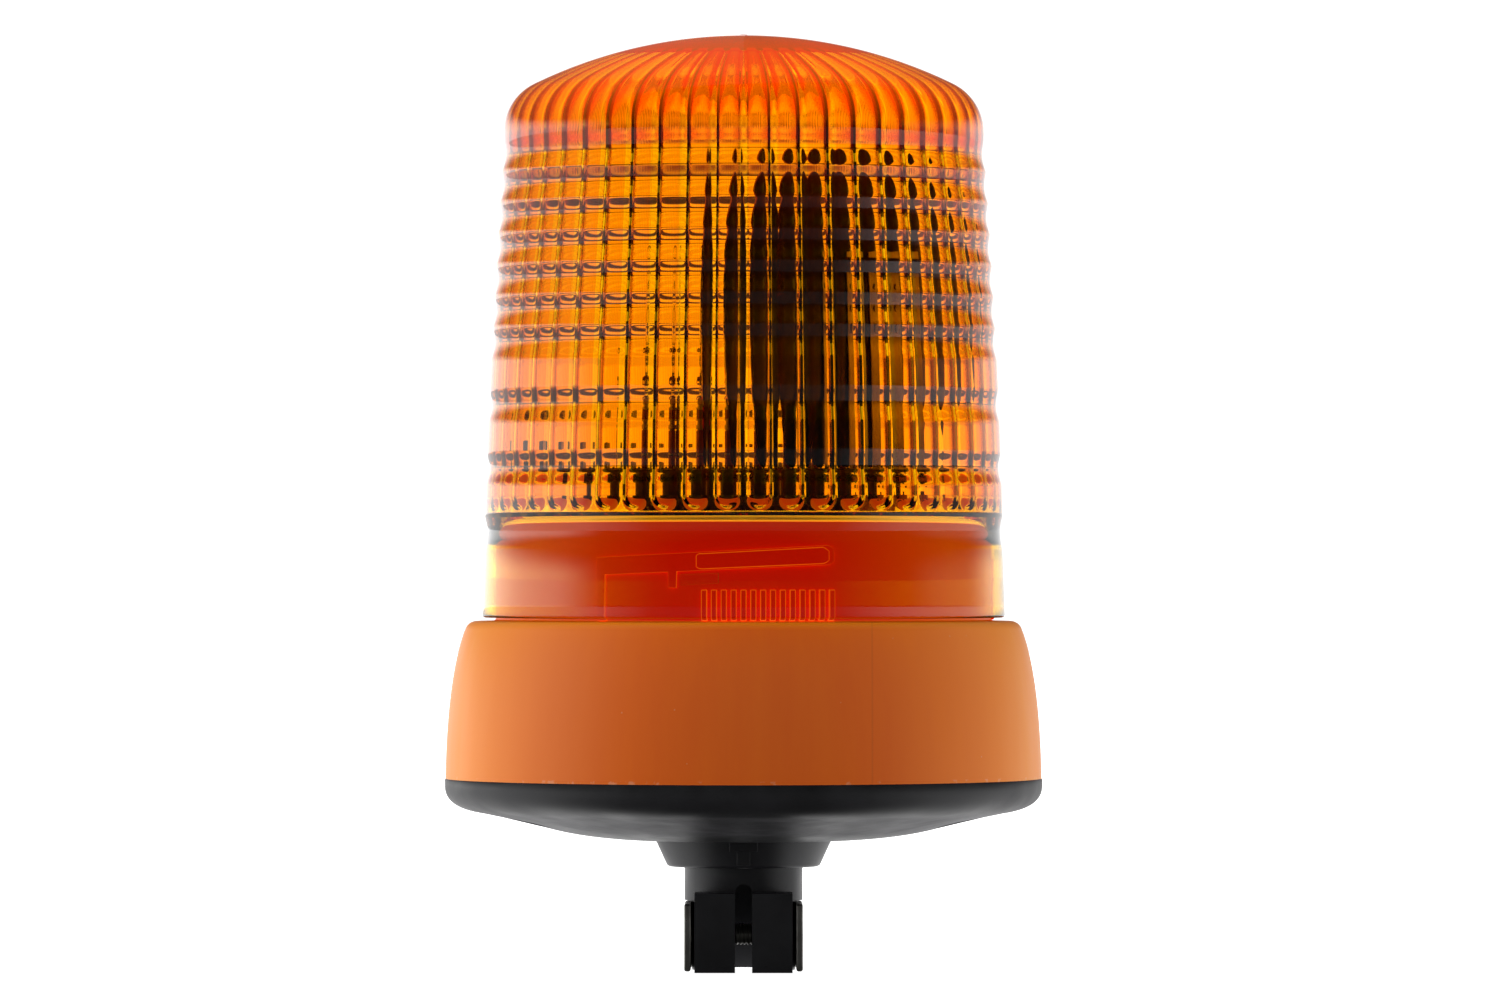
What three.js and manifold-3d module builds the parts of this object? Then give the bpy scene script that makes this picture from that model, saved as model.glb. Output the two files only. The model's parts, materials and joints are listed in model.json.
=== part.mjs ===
// Amber rotating warning beacon with a split pole socket, in millimetres, +Z up.
// The origin is the centre of the socket mouth and -Y is the front, where the clamp lugs are.
import * as THREE from 'three';
import { mergeVertices } from 'three/addons/utils/BufferGeometryUtils.js';
import Module from 'manifold-3d';

const wasm = await Module();
wasm.setup();

// ---------- driving dimensions ----------
const GAP = 0.3; // clearance between pieces that turn or are cut to fit
const THREAD = 1.5; // radius of the small machine screws
const ROUND = 32; // facets round the large shells
const FINE = 16; // facets round the posts and bushes
const SMALL = 8; // facets round the screws
const OVER = 2; // how far a cutting tool runs past the surface it cuts

const SOCKET = { r: 16, bore: 12.6, stopZ: 38, topBore: 8, slotX: 2.3, slotTop: 21.3 };
const FLANGE = { r: 28, z0: 40.1, z1: 43.1, boss: 12, bossTop: 52 };
const SOCKET_SCREW = { ring: 22, first: 90, r: 1.9, headR: 3.6, tall: 2.5, end: 36.8, pilotZ: 36.4 };
const LUG = { x: 13.2, front: -23.2, back: -8, top: 21.3 };
const STRAP = { outer: 16, thick: 1.8, z0: 0.4, z1: 18.6, front: -23.2, seat: 14 };
const CLAMP = {
  y: -17.4, z: 10.3, r: 3, hole: 3.3, headR: 4.5, headX0: 8.6, headX1: 13,
  sinkR: 5, sinkX: 7.5, washerX: 7.6, washerR: 4.7, endX: -12.6, keyR: 2.6, keyDeep: 2.4,
};
const NUT = { side: 9, x0: -13.1, x1: -9.1 };

const COLLAR = { inner: 16.3, z0: 28, z1: 35.1, r0: 21.05, r1: 23.85, edge: 1.4 };
const TAB = { headX: 3.8, headZ0: 32.7, headZ1: 35.1, stemX: 1.8, out: 0.3 };

const PAN = { bore: 16.3, z0: 35.1, floor: 40.1, r: 81.1, rim: 52, wall: 2.8 };
const PAN_OUTSIDE = [[42.4, 36.1], [53.6, 38.6], [70.9, 42.6], [76.2, 43.6], [79.3, 45.5], [80.8, 48.4]];
const PAN_INSIDE = [[78.3, 49.2], [75.4, 46.4], [70.4, 45.5], [53, 41.8], [44, 40.1]];
const PAN_SCREW = {
  ring: 59.5, angles: [-15, 60, 120, 195], recess: 5.7, recessTop: 46.2, boss: 8.2, bossTop: 49,
  r: 2, headR: 4, tall: 2.4, end: 66,
};
const SEAM = { z0: 52, z1: 52.6, inner: 76.6, outer: 80.6 };

const HOUSING = { top: 94.6, wall: 2.8, flatR: 72.4, corner: 3.3 };
const DRUM_OUTSIDE = [[80.9, 52.6], [80.5, 62.4], [79.7, 73.2], [78, 82.6], [75.9, 91.2]];
const DRUM_INSIDE = [[71.4, 91.8], [73.3, 90.2], [75.2, 82], [76.9, 72.6], [77.7, 62], [78, 52.6]];
const HOUSING_POST = { r: 5, top: 92.5, pilotTop: 68, webThick: 2.4, webZ: 60 };
const NECK = { r: 67.3, straight: 115.7, topR: 66.1, top: 121.6 };
const LEDGE = { inner: 56, z0: 114.8, z1: 118.2 };
const RAMP = { inner: 66.2, outer: 68, copies: 3, footZ: 94.4, topZ: 116 };
const RAMP_UNDER = { x0: -17.3, z0: 108, x1: 23.3, z1: 109.8 }; // the face that the lug slides below
const RIBS = { x0: -10.9, x1: 24.6, z1: 103.2, count: 14 };

const LENS = {
  skirtZ: 95.5, skirtInner: 68.5, waistZ: 119.3, ringsZ0: 123.1, ringsZ1: 224.7, scallops: 12,
  scallopDeep: 0.7, flatBands: [0, 2, 4], wall: 3.6, shoulderZ: 227.2, shoulderR: 65.3, fillet: 14.5,
  crownR: 130, apexZ: 253.5, lipR: 65.2, lipZ0: 124.4, lipZ1: 126.6,
};
const LENS_LUG = { x0: -16.4, x1: -6.4, z0: 104.4, z1: 107.2, inner: 67.9, outer: 68.9 };
const SEAL = { inner: 63.7, outer: 66, z0: 121.7, z1: 124.1 };

const DECK = { r: 63.9, z0: 118.2, z1: 121.2, bore: 8.3, ribR: 52.5, ribThick: 2, ribDeep: 5 };
const WIRE_HOLE = { r: 4, x: -26, y: 26 };
const DECK_SCREW = { ring: 60, first: 30, r: 1.8, headR: 3.4, headTop: 123.2, end: 110, pilotZ: 106.8 };
const POST = { r: 8, bore: 5.6, z0: 112.4, z1: 152, flangeR: 12.6, flangeTop: 122.6, nutR: 13, nutZ0: 113.6 };
const CLIP = { inner: 8.05, outer: 11, z0: 146.6, z1: 147.7 };

const MODULE = 1; // gear module
const GEAR = { teeth: 60, z0: 123.4, z1: 127.4, bore: 10.6, hubR: 24, hubTop: 132.5 };
const PINION = { teeth: 12, z0: 123.4, z1: 128.4, shaftR: 1.5, fit: 0.05 };
const TOOTH = { addendum: 0.85, dedendum: 1.2, rootShare: 0.31, tipShare: 0.12 };
const CENTRES = (MODULE * (GEAR.teeth + PINION.teeth)) / 2;
const MOTOR = {
  angle: -20, r: 14, z0: 84, z1: 118.1, neckR: 4, neckTop: 120.8, endR: 3.6, endZ: 80, boreZ: 104,
  shaftZ: 105, screwOff: 10.5, screwDeep: 5, screwHeadR: 2.5,
};

const ROTOR_ANGLE = 150; // way the mirror faces at rest, from +X towards +Y
const BUSH = { inner: 8.35, outer: 10.5, z0: 123, z1: 146.2 };
const PLATE = {
  r: 49, z0: 132.5, z1: 134.1, window: 8, windowRing: 34, windowAngles: [60, 120, 240, 300],
};
const ROTOR_SCREW = { ring: 18, headR: 3, headTop: 136.2, end: 128 };
const FOCUS_Z = 178; // height of the filament
const MIRROR = { focal: 30, rim: 43, thick: 1.2, well: 13.5, wellTop: 166, bossR: 5 };
const SHELL = { gap: 0.5, thick: 1.8, rim: 42.6, bossOut: 0.2 };
const BRACKET = { thick: 1.6, width: 22, top: 190, foot: 11, holeR: 2, screwY: 7, headR: 3, headTall: 2 };
const WEIGHT = { x: 37, y: 13, deep: 9, tall: 9 };

const HOLDER = { r: 9, z0: 152, z1: 158, spigot: 5.3, spigotZ: 144, bore: 2.6 };
const BULB = {
  pinR: 1.8, pinZ: 153, baseR: 6.6, flangeTop: 159.2, baseTop: 161, neckR: 3.9, neckTop: 165,
  glassR: 5.2, glassWall: 0.9, glassTop: 194,
};
const FILAMENT = { coilR: 1.1, wireR: 0.28, turns: 5.5, length: 6, legZ: 161.2, legShare: 0.3, legOut: 1.4 };
const BULB_CLIP = { wireR: 0.5, z: 159.9, hookZ: 156.9 };
const CLIP_PATH = [[-10, 5.6], [-2, 7.4], [5.5, 7], [8.2, 0], [5.5, -7], [-2, -7.4], [-10, -5.6]];
const BOARD = { x0: -50, x1: -14, y0: -20, y1: 20, z0: 101, z1: 102.6, postR: 3, postX: -44, postY: 16 };
const CHOKE = { inner: 3, outer: 7, tall: 6, x: -24, y: -9 };
const CAPACITOR = { x0: -44, x1: -33, y0: -12, y1: -5, tall: 12 };
const TERMINALS = {
  x0: -40, x1: -22, y0: 5, y1: 15, tall: 10, entryR: 1.8, entryDeep: 6, xs: [-35.5, -26.5],
};
const LEAD = { r: 1.1, steps: 16, sides: 6 };

const CARRIER = { r: 7.7, bore: 3, flangeR: 11.5, top: 55 };
const PIN = { tipR: 5, tipZ0: 26, tipZ1: 30, stemR: 2.5, headR: 4, top: 61 };
const SPRING = { r: 3.9, wire: 0.45, z0: 30.6, z1: 37.3, turns: 4 };

// ---------- finishes ----------
const finish = (color, roughness, metalness = 0, extra = {}) =>
  new THREE.MeshStandardMaterial({ color, roughness, metalness, ...extra });
const AMBER = () => finish('#f59a00', 0.12, 0, { transparent: true, opacity: 0.55 });
const ORANGE = () => finish('#c8651b', 0.5);
const BLACK = () => finish('#1f1f22', 0.45);
const RUBBER = () => finish('#151516', 0.85);
const SILICONE = () => finish('#d8cfae', 0.6);
const STEEL = () => finish('#a9adb0', 0.3, 1);
const BRASS = () => finish('#b98f3e', 0.35, 1);
const BRONZE = () => finish('#8a5a2b', 0.4, 1);
const CHROME = () => finish('#e4e6e8', 0.05, 1);
const GLASS = () => finish('#eef2f5', 0.05, 0, { transparent: true, opacity: 0.35 });
const NYLON = () => finish('#e6e1d0', 0.5);
const GREEN = () => finish('#2b5b34', 0.5);
const RED = () => finish('#a5221c', 0.5);

// ---------- solid modelling helpers ----------
const rad = THREE.MathUtils.degToRad;
const v2 = (x, y) => new THREE.Vector2(x, y);

/** A closed three.js geometry as a manifold solid. */
function solid(geometry) {
  const bare = geometry.clone();
  bare.deleteAttribute('normal');
  bare.deleteAttribute('uv');
  const merged = mergeVertices(bare, 1e-4);
  return new wasm.Manifold(new wasm.Mesh({
    numProp: 3,
    vertProperties: new Float32Array(merged.attributes.position.array),
    triVerts: new Uint32Array(merged.index.array),
  }));
}

/** A manifold solid as a three.js geometry with flat shading. */
function toGeometry(body) {
  const mesh = body.getMesh();
  const geometry = new THREE.BufferGeometry();
  geometry.setAttribute('position', new THREE.BufferAttribute(mesh.vertProperties, 3));
  geometry.setIndex(new THREE.BufferAttribute(mesh.triVerts, 1));
  geometry.computeVertexNormals();
  return geometry;
}

const join = (...bodies) => bodies.reduce((a, b) => a.add(b));
const cut = (body, ...tools) => tools.reduce((a, b) => a.subtract(b), body);

/** A body turned about Z from a closed profile of [radius, height] points. */
function lathe(points, facets = ROUND) {
  const closed = [...points, points[0]].map(([r, z]) => v2(r, z));
  return solid(new THREE.LatheGeometry(closed, facets).rotateX(Math.PI / 2));
}

const ring = (inner, outer, z0, z1, facets = ROUND) =>
  lathe([[inner, z0], [outer, z0], [outer, z1], [inner, z1]], facets);

/** A solid cylinder standing at (x, y) from z0 to z1. */
function rod(r, z0, z1, x = 0, y = 0, facets = SMALL) {
  const geometry = new THREE.CylinderGeometry(r, r, z1 - z0, facets).rotateX(Math.PI / 2);
  return solid(geometry.translate(x, y, (z0 + z1) / 2));
}

/** A solid cylinder along X from x0 to x1, through (y, z). */
function rodX(r, x0, x1, y, z, facets = SMALL) {
  const geometry = new THREE.CylinderGeometry(r, r, x1 - x0, facets).rotateZ(Math.PI / 2);
  return solid(geometry.translate((x0 + x1) / 2, y, z));
}

function box(x0, x1, y0, y1, z0, z1) {
  const geometry = new THREE.BoxGeometry(x1 - x0, y1 - y0, z1 - z0);
  return solid(geometry.translate((x0 + x1) / 2, (y0 + y1) / 2, (z0 + z1) / 2));
}

/** A flat outline of [x, z] points, extruded along Y from y0 to y1. */
function frontPlate(outline, y0, y1) {
  const shape = new THREE.Shape(outline.map(([x, z]) => v2(x, z)));
  const geometry = new THREE.ExtrudeGeometry(shape, { depth: y1 - y0, bevelEnabled: false, steps: 1 });
  return solid(geometry.rotateX(Math.PI / 2).translate(0, y1, 0));
}

/** A flat outline of [x, y] points, extruded up from z0 to z1. */
function topPlate(outline, z0, z1) {
  const shape = new THREE.Shape(outline.map(([x, y]) => v2(x, y)));
  const geometry = new THREE.ExtrudeGeometry(shape, { depth: z1 - z0, bevelEnabled: false, steps: 1 });
  return solid(geometry.translate(0, 0, z0));
}

/** A round wire along a curve. */
function wire(curve, r, steps, sides) {
  const circle = new THREE.Shape().absarc(0, 0, r, 0, 2 * Math.PI, false);
  return solid(new THREE.ExtrudeGeometry(circle, {
    steps, curveSegments: sides / 2, bevelEnabled: false, extrudePath: curve,
  }));
}

/** A smooth curve through [x, y, z] points. */
const through = (points) => new THREE.CatmullRomCurve3(points.map((p) => new THREE.Vector3(...p)));

const at = (ringRadius, degrees) => [
  ringRadius * Math.cos(rad(degrees)), ringRadius * Math.sin(rad(degrees)),
];
/** Angles spread evenly round the axis, from a first angle. */
const spread = (count, first = 0) =>
  Array.from({ length: count }, (_, i) => first + (360 * i) / count);
const copiesRound = (body, count) => join(...spread(count).map((a) => body.rotate([0, 0, a])));

/** Points of an arc in a profile, centred at (r, z), from angle a to b in degrees. */
function arc(r, z, radius, a, b, steps) {
  return Array.from({ length: steps + 1 }, (_, i) => {
    const t = rad(a + ((b - a) * i) / steps);
    return [r + radius * Math.cos(t), z + radius * Math.sin(t)];
  });
}

/** A screw with its axis on Z: the head lies beyond the shank, at either end. */
function screw({ r, headR, headFrom, headTo, end }, [x, y] = [0, 0]) {
  const head = rod(headR, Math.min(headFrom, headTo), Math.max(headFrom, headTo), x, y);
  const shank = rod(r, Math.min(headFrom, end), Math.max(headFrom, end), x, y);
  const up = headTo > headFrom;
  const slotZ = up ? [headTo - headR / 4, headTo + 1] : [headTo - 1, headTo + headR / 4];
  const slot = box(x - headR - 1, x + headR + 1, y - 0.5, y + 0.5, ...slotZ);
  return cut(join(head, shank), slot);
}

// ---------- pole socket and its clamp ----------
const socketScrewAngles = spread(3, SOCKET_SCREW.first);

/** The socket that slides over the pole: split tube, two clamp lugs and a flange inside the pan. */
function poleSocket() {
  const tube = join(
    rod(SOCKET.r, 0, FLANGE.z0 + 1, 0, 0, ROUND),
    rod(FLANGE.r, FLANGE.z0, FLANGE.z1, 0, 0, ROUND),
    rod(FLANGE.boss, FLANGE.z0, FLANGE.bossTop, 0, 0, ROUND),
  );
  const band = ring(STRAP.seat, SOCKET.r + OVER, -OVER, STRAP.z1 + GAP);
  const lugs = box(-LUG.x, LUG.x, LUG.front, LUG.back, 0, LUG.top);
  const bores = [
    rod(SOCKET.bore, -OVER, SOCKET.stopZ, 0, 0, ROUND),
    rod(SOCKET.topBore, 0, FLANGE.bossTop + OVER, 0, 0, FINE),
    box(-SOCKET.slotX, SOCKET.slotX, LUG.front - OVER, 0, -OVER, SOCKET.slotTop),
  ];
  const clampHoles = [
    rodX(CLAMP.hole, -LUG.x - OVER, LUG.x + OVER, CLAMP.y, CLAMP.z, FINE),
    rodX(CLAMP.sinkR, CLAMP.sinkX, LUG.x + OVER, CLAMP.y, CLAMP.z, FINE),
    clampBlock(NUT.side / 2 + GAP, -LUG.x - OVER, NUT.x1 + GAP),
  ];
  const screwHoles = socketScrewAngles.map((a) =>
    rod(SOCKET_SCREW.r + GAP, FLANGE.z0 - 1, FLANGE.z1 + 1, ...at(SOCKET_SCREW.ring, a)));
  return cut(join(cut(tube, band), lugs), ...bores, ...clampHoles, ...screwHoles);
}

/** A square block on the clamp screw's axis. */
const clampBlock = (half, x0, x1) =>
  box(x0, x1, CLAMP.y - half, CLAMP.y + half, CLAMP.z - half, CLAMP.z + half);

/** The U-shaped steel strap round the back of the socket, with a leg outside each lug. */
function clampStrap() {
  const inner = STRAP.outer - STRAP.thick;
  const behind = box(-STRAP.outer - 1, STRAP.outer + 1, 0, STRAP.outer + 1, STRAP.z0, STRAP.z1);
  const back = ring(inner, STRAP.outer, STRAP.z0, STRAP.z1).intersect(behind);
  const leg = (x0, x1) => box(x0, x1, STRAP.front, 0, STRAP.z0, STRAP.z1);
  const legs = [leg(-STRAP.outer, -inner), leg(inner, STRAP.outer)];
  const holes = [
    rodX(CLAMP.sinkR, inner - 1, STRAP.outer + 1, CLAMP.y, CLAMP.z, FINE),
    rodX(CLAMP.hole, -STRAP.outer - 1, 1 - inner, CLAMP.y, CLAMP.z, FINE),
  ];
  return cut(join(back, ...legs), ...holes);
}

/** The clamp screw: cylinder head with a hexagon socket, lying along X through both lugs. */
function clampBolt() {
  const head = rodX(CLAMP.headR, CLAMP.headX0, CLAMP.headX1, 0, 0, FINE);
  const shank = rodX(CLAMP.r, CLAMP.endX, CLAMP.headX0 + 1, 0, 0, FINE);
  const key = rodX(CLAMP.keyR, CLAMP.headX1 - CLAMP.keyDeep, CLAMP.headX1 + 1, 0, 0, 6);
  return cut(join(head, shank), key);
}

const clampWasher = () => cut(
  rodX(CLAMP.washerR, CLAMP.washerX, CLAMP.headX0, 0, 0, FINE),
  rodX(CLAMP.hole, CLAMP.washerX - 1, CLAMP.headX0 + 1, 0, 0, FINE),
);

const clampNut = () => cut(
  clampBlock(NUT.side / 2, NUT.x0, NUT.x1),
  rodX(CLAMP.hole, NUT.x0 - 1, NUT.x1 + 1, CLAMP.y, CLAMP.z, FINE),
);

// ---------- contact inside the socket ----------
const contactCarrier = () => cut(
  join(rod(CARRIER.r, SOCKET.stopZ, CARRIER.top, 0, 0, FINE),
    rod(CARRIER.flangeR, FLANGE.bossTop, CARRIER.top, 0, 0, FINE)),
  rod(CARRIER.bore, SOCKET.stopZ - 1, CARRIER.top + 1, 0, 0, FINE),
);

const contactPin = () => lathe([
  [0, PIN.tipZ0], [PIN.tipR - 1, PIN.tipZ0], [PIN.tipR, PIN.tipZ0 + 1], [PIN.tipR, PIN.tipZ1],
  [PIN.stemR, PIN.tipZ1], [PIN.stemR, CARRIER.top + GAP], [PIN.headR, CARRIER.top + GAP],
  [PIN.headR, CARRIER.top + 2], [PIN.stemR, CARRIER.top + 2], [PIN.stemR, PIN.top], [0, PIN.top],
], FINE);

/** A helix of round wire about Z. */
class Helix extends THREE.Curve {
  constructor(r, z0, z1, turns) {
    super();
    Object.assign(this, { r, z0, z1, turns });
  }

  getPoint(t, target = new THREE.Vector3()) {
    const a = 2 * Math.PI * this.turns * t;
    return target.set(this.r * Math.cos(a), this.r * Math.sin(a), this.z0 + (this.z1 - this.z0) * t);
  }
}

const contactSpring = () =>
  wire(new Helix(SPRING.r, SPRING.z0, SPRING.z1, SPRING.turns), SPRING.wire, SPRING.turns * 11, 4);

// ---------- collar, pan and housing ----------
/** The tapered collar below the pan, with its moulded T-shaped key at the front. */
function collar() {
  const slope = (COLLAR.r1 - COLLAR.r0) / (COLLAR.z1 - COLLAR.z0);
  const cone = lathe([
    [COLLAR.inner, COLLAR.z0], [COLLAR.r0 - COLLAR.edge, COLLAR.z0],
    [COLLAR.r0, COLLAR.z0 + COLLAR.edge / 2], [COLLAR.r1, COLLAR.z1], [COLLAR.inner, COLLAR.z1],
  ]);
  const proud = (x, z0, z1) => {
    const front = -(COLLAR.r0 + slope * (z1 - COLLAR.z0)) - TAB.out;
    return box(-x, x, front, -COLLAR.inner - 1, z0, z1);
  };
  return join(cone, proud(TAB.headX, TAB.headZ0, TAB.headZ1),
    proud(TAB.stemX, COLLAR.z0 + COLLAR.edge, TAB.headZ0));
}

/** The dished pan that closes the housing from below, with four sunk screw seats. */
function basePan() {
  const shell = lathe([
    [PAN.bore, PAN.z0], [COLLAR.r1, PAN.z0], ...PAN_OUTSIDE, [PAN.r, PAN.rim - 0.6],
    [PAN.r, PAN.rim], [PAN.r - PAN.wall, PAN.rim], ...PAN_INSIDE, [PAN.bore, PAN.floor],
  ]);
  const onRing = (r, z0, z1) =>
    PAN_SCREW.angles.map((a) => rod(r, z0, z1, ...at(PAN_SCREW.ring, a)));
  const bosses = onRing(PAN_SCREW.boss, PAN.floor + OVER, PAN_SCREW.bossTop);
  const recesses = onRing(PAN_SCREW.recess, PAN.z0 - OVER, PAN_SCREW.recessTop);
  const holes = onRing(PAN_SCREW.r + GAP, PAN.floor, PAN_SCREW.bossTop + 1);
  const pilots = socketScrewAngles.map((a) =>
    rod(SOCKET_SCREW.r + GAP, SOCKET_SCREW.pilotZ, PAN.floor + 1, ...at(SOCKET_SCREW.ring, a)));
  return cut(join(shell, ...bosses), ...recesses, ...holes, ...pilots);
}

const panScrew = (a) => screw({
  r: PAN_SCREW.r, headR: PAN_SCREW.headR, headFrom: PAN_SCREW.recessTop,
  headTo: PAN_SCREW.recessTop - PAN_SCREW.tall, end: PAN_SCREW.end,
}, at(PAN_SCREW.ring, a));

const socketScrew = (a) => screw({
  r: SOCKET_SCREW.r, headR: SOCKET_SCREW.headR, headFrom: FLANGE.z1,
  headTo: FLANGE.z1 + SOCKET_SCREW.tall, end: SOCKET_SCREW.end,
}, at(SOCKET_SCREW.ring, a));

/** The outline of one bayonet ramp as seen from the front: arm, down-leg and stop hook. */
const RAMP_OUTLINE = [
  [-37.8, 95], [-37.8, 111.7], [20.6, 114.8], [RAMP_UNDER.x1, 113.4], [RAMP_UNDER.x1, RAMP_UNDER.z1],
  [RAMP_UNDER.x0, RAMP_UNDER.z0], [-17.3, 103.7], [-19.3, 103.7], [-19.3, 107.9], [-35.8, 107], [-35.8, 95],
];

/** A front outline wrapped on the neck between two radii. */
const wrapped = (outline, inner, outer) =>
  ring(inner, outer, RAMP.footZ, RAMP.topZ).intersect(frontPlate(outline, -outer - OVER, -inner / 2));

const rectangle = (x0, x1, z0, z1) => [[x0, z0], [x1, z0], [x1, z1], [x0, z1]];

/** One bayonet station on the neck: the ramp and the ribs below it. */
function bayonetStation() {
  const pitch = (RIBS.x1 - RIBS.x0) / RIBS.count;
  const ribs = Array.from({ length: RIBS.count }, (_, i) => {
    const x = RIBS.x0 + pitch * i;
    return wrapped(rectangle(x, x + pitch / 2, RAMP.footZ, RIBS.z1), RAMP.inner, RAMP.outer);
  });
  return join(wrapped(RAMP_OUTLINE, RAMP.inner, RAMP.outer), ...ribs);
}

const deckScrewAngles = spread(3, DECK_SCREW.first);

/** The orange housing: drum, flat shoulder and the neck that carries the lens. */
function housing() {
  const t = HOUSING.wall;
  const outer = [
    ...DRUM_OUTSIDE,
    ...arc(HOUSING.flatR, HOUSING.top - HOUSING.corner, HOUSING.corner, 12, 90, 4),
    [NECK.r, HOUSING.top], [NECK.r, NECK.straight], [NECK.topR, NECK.top],
  ];
  const inner = [
    [NECK.topR - t + 0.8, NECK.top], [NECK.r - t, NECK.straight + 1], [NECK.r - t, LEDGE.z1],
    [LEDGE.inner, LEDGE.z1], [LEDGE.inner, LEDGE.z0], [NECK.r - t, LEDGE.z0 - 6],
    [NECK.r - t, HOUSING.top - t], ...DRUM_INSIDE,
  ];
  const shell = lathe([...outer, ...inner]);
  const posts = PAN_SCREW.angles.map((a) => {
    const [x, y] = at(PAN_SCREW.ring, a);
    const half = HOUSING_POST.webThick / 2;
    const column = rod(HOUSING_POST.r, PAN_SCREW.bossTop + GAP, HOUSING_POST.top, x, y);
    const web = box(PAN_SCREW.ring, HOUSING.flatR, -half, half, HOUSING_POST.webZ, HOUSING_POST.top);
    return join(column, web.rotate([0, 0, a]));
  });
  const pilots = PAN_SCREW.angles.map((a) =>
    rod(PAN_SCREW.r + GAP, PAN.floor, HOUSING_POST.pilotTop, ...at(PAN_SCREW.ring, a)));
  const deckPilots = deckScrewAngles.map((a) =>
    rod(DECK_SCREW.r + GAP, DECK_SCREW.pilotZ, LEDGE.z1 + 1, ...at(DECK_SCREW.ring, a)));
  const stations = copiesRound(bayonetStation(), RAMP.copies);
  return cut(join(shell, ...posts, stations), ...pilots, ...deckPilots);
}

const seamGasket = () => ring(SEAM.inner, SEAM.outer, SEAM.z0, SEAM.z1);

// ---------- lens ----------
/** Radius of the ring cusps on the lens wall: a shallow barrel that narrows upwards. */
function cuspRadius(z) {
  const down = LENS.shoulderZ - z;
  return LENS.shoulderR - 0.2 + 0.0737 * down - 0.000221 * down * down;
}

/** The outer outline of the lens, from the skirt's lower edge to the apex. Three bands are not hollowed. */
function lensOuter() {
  const pitch = (LENS.ringsZ1 - LENS.ringsZ0) / LENS.scallops;
  const rings = [];
  for (let i = 0; i < LENS.scallops; i += 1) {
    const z = LENS.ringsZ0 + pitch * i;
    rings.push([cuspRadius(z), z]);
    if (!LENS.flatBands.includes(i)) {
      rings.push([cuspRadius(z + pitch / 2) - LENS.scallopDeep, z + pitch / 2]);
    }
  }
  rings.push([cuspRadius(LENS.ringsZ1), LENS.ringsZ1]);
  const filletR = LENS.shoulderR - LENS.fillet;
  return [
    [70.2, LENS.skirtZ], [70.95, LENS.skirtZ + 0.9], [70.85, 100], [70.35, 114.8],
    [69.5, LENS.waistZ], ...rings, ...arc(filletR, LENS.shoulderZ, LENS.fillet, 0, 64, 4),
    ...arc(0, LENS.apexZ - LENS.crownR, LENS.crownR, 70, 90, 4).slice(0, -1), [0, LENS.apexZ],
  ];
}

/** The inner outline, from the apex back down to the skirt's lower edge. */
function lensInner() {
  const t = LENS.wall;
  const fillet = LENS.fillet - t;
  const wallHeights = [190, 150, LENS.lipZ1];
  return [
    [0, LENS.apexZ - t], ...arc(0, LENS.apexZ - LENS.crownR, LENS.crownR - t, 90, 70, 4).slice(1),
    ...arc(LENS.shoulderR - LENS.fillet, LENS.shoulderZ, fillet, 60, 0, 4),
    ...wallHeights.map((z) => [cuspRadius(z) - t, z]),
    [LENS.lipR, LENS.lipZ1 - 0.4], [LENS.lipR, LENS.lipZ0], [67.4, LENS.lipZ0 - 0.6], [67.4, 118],
    [LENS.skirtInner, 114.5], [LENS.skirtInner, LENS.skirtZ],
  ];
}

/** The amber lens: ringed barrel, smooth crown and skirt, with three bayonet lugs inside. */
function lensDome() {
  const slope = (RAMP_UNDER.z1 - RAMP_UNDER.z0) / (RAMP_UNDER.x1 - RAMP_UNDER.x0);
  const rise = slope * (LENS_LUG.x1 - LENS_LUG.x0);
  const outline = [
    [LENS_LUG.x0, LENS_LUG.z0], [LENS_LUG.x1, LENS_LUG.z0 + rise],
    [LENS_LUG.x1, LENS_LUG.z1 + rise], [LENS_LUG.x0, LENS_LUG.z1],
  ];
  const lug = wrapped(outline, LENS_LUG.inner, LENS_LUG.outer);
  return join(lathe([...lensOuter(), ...lensInner()]), copiesRound(lug, RAMP.copies));
}

const lensSeal = () => ring(SEAL.inner, SEAL.outer, SEAL.z0, SEAL.z1);

// ---------- deck, post and drive ----------
const motorCentre = at(CENTRES, MOTOR.angle);
const motorScrewSides = [90, -90];
const motorScrewAt = (side) => {
  const [dx, dy] = at(MOTOR.screwOff, MOTOR.angle + side);
  return [motorCentre[0] + dx, motorCentre[1] + dy];
};

/** The deck inside the neck, which carries the post, the motor and the suppressor board. */
function deck() {
  const plate = rod(DECK.r, DECK.z0, DECK.z1, 0, 0, ROUND);
  const rib = ring(DECK.ribR, DECK.ribR + DECK.ribThick, DECK.z0 - DECK.ribDeep, DECK.z0 + 1);
  const boardPosts = [-BOARD.postY, BOARD.postY].map((y) =>
    rod(BOARD.postR, BOARD.z1, DECK.z0 + 1, BOARD.postX, y));
  const hole = (r, [x, y], facets = SMALL) => rod(r, DECK.z0 - OVER, DECK.z1 + OVER, x, y, facets);
  const holes = [
    hole(DECK.bore, [0, 0], FINE),
    hole(MOTOR.neckR + GAP, motorCentre),
    ...motorScrewSides.map((side) => hole(THREAD + GAP, motorScrewAt(side))),
    ...deckScrewAngles.map((a) => hole(DECK_SCREW.r + GAP, at(DECK_SCREW.ring, a))),
    hole(WIRE_HOLE.r, [WIRE_HOLE.x, WIRE_HOLE.y]),
  ];
  return cut(join(plate, rib, ...boardPosts), ...holes);
}

const deckScrew = (a) => screw({
  r: DECK_SCREW.r, headR: DECK_SCREW.headR, headFrom: DECK.z1, headTo: DECK_SCREW.headTop,
  end: DECK_SCREW.end,
}, at(DECK_SCREW.ring, a));

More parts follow.
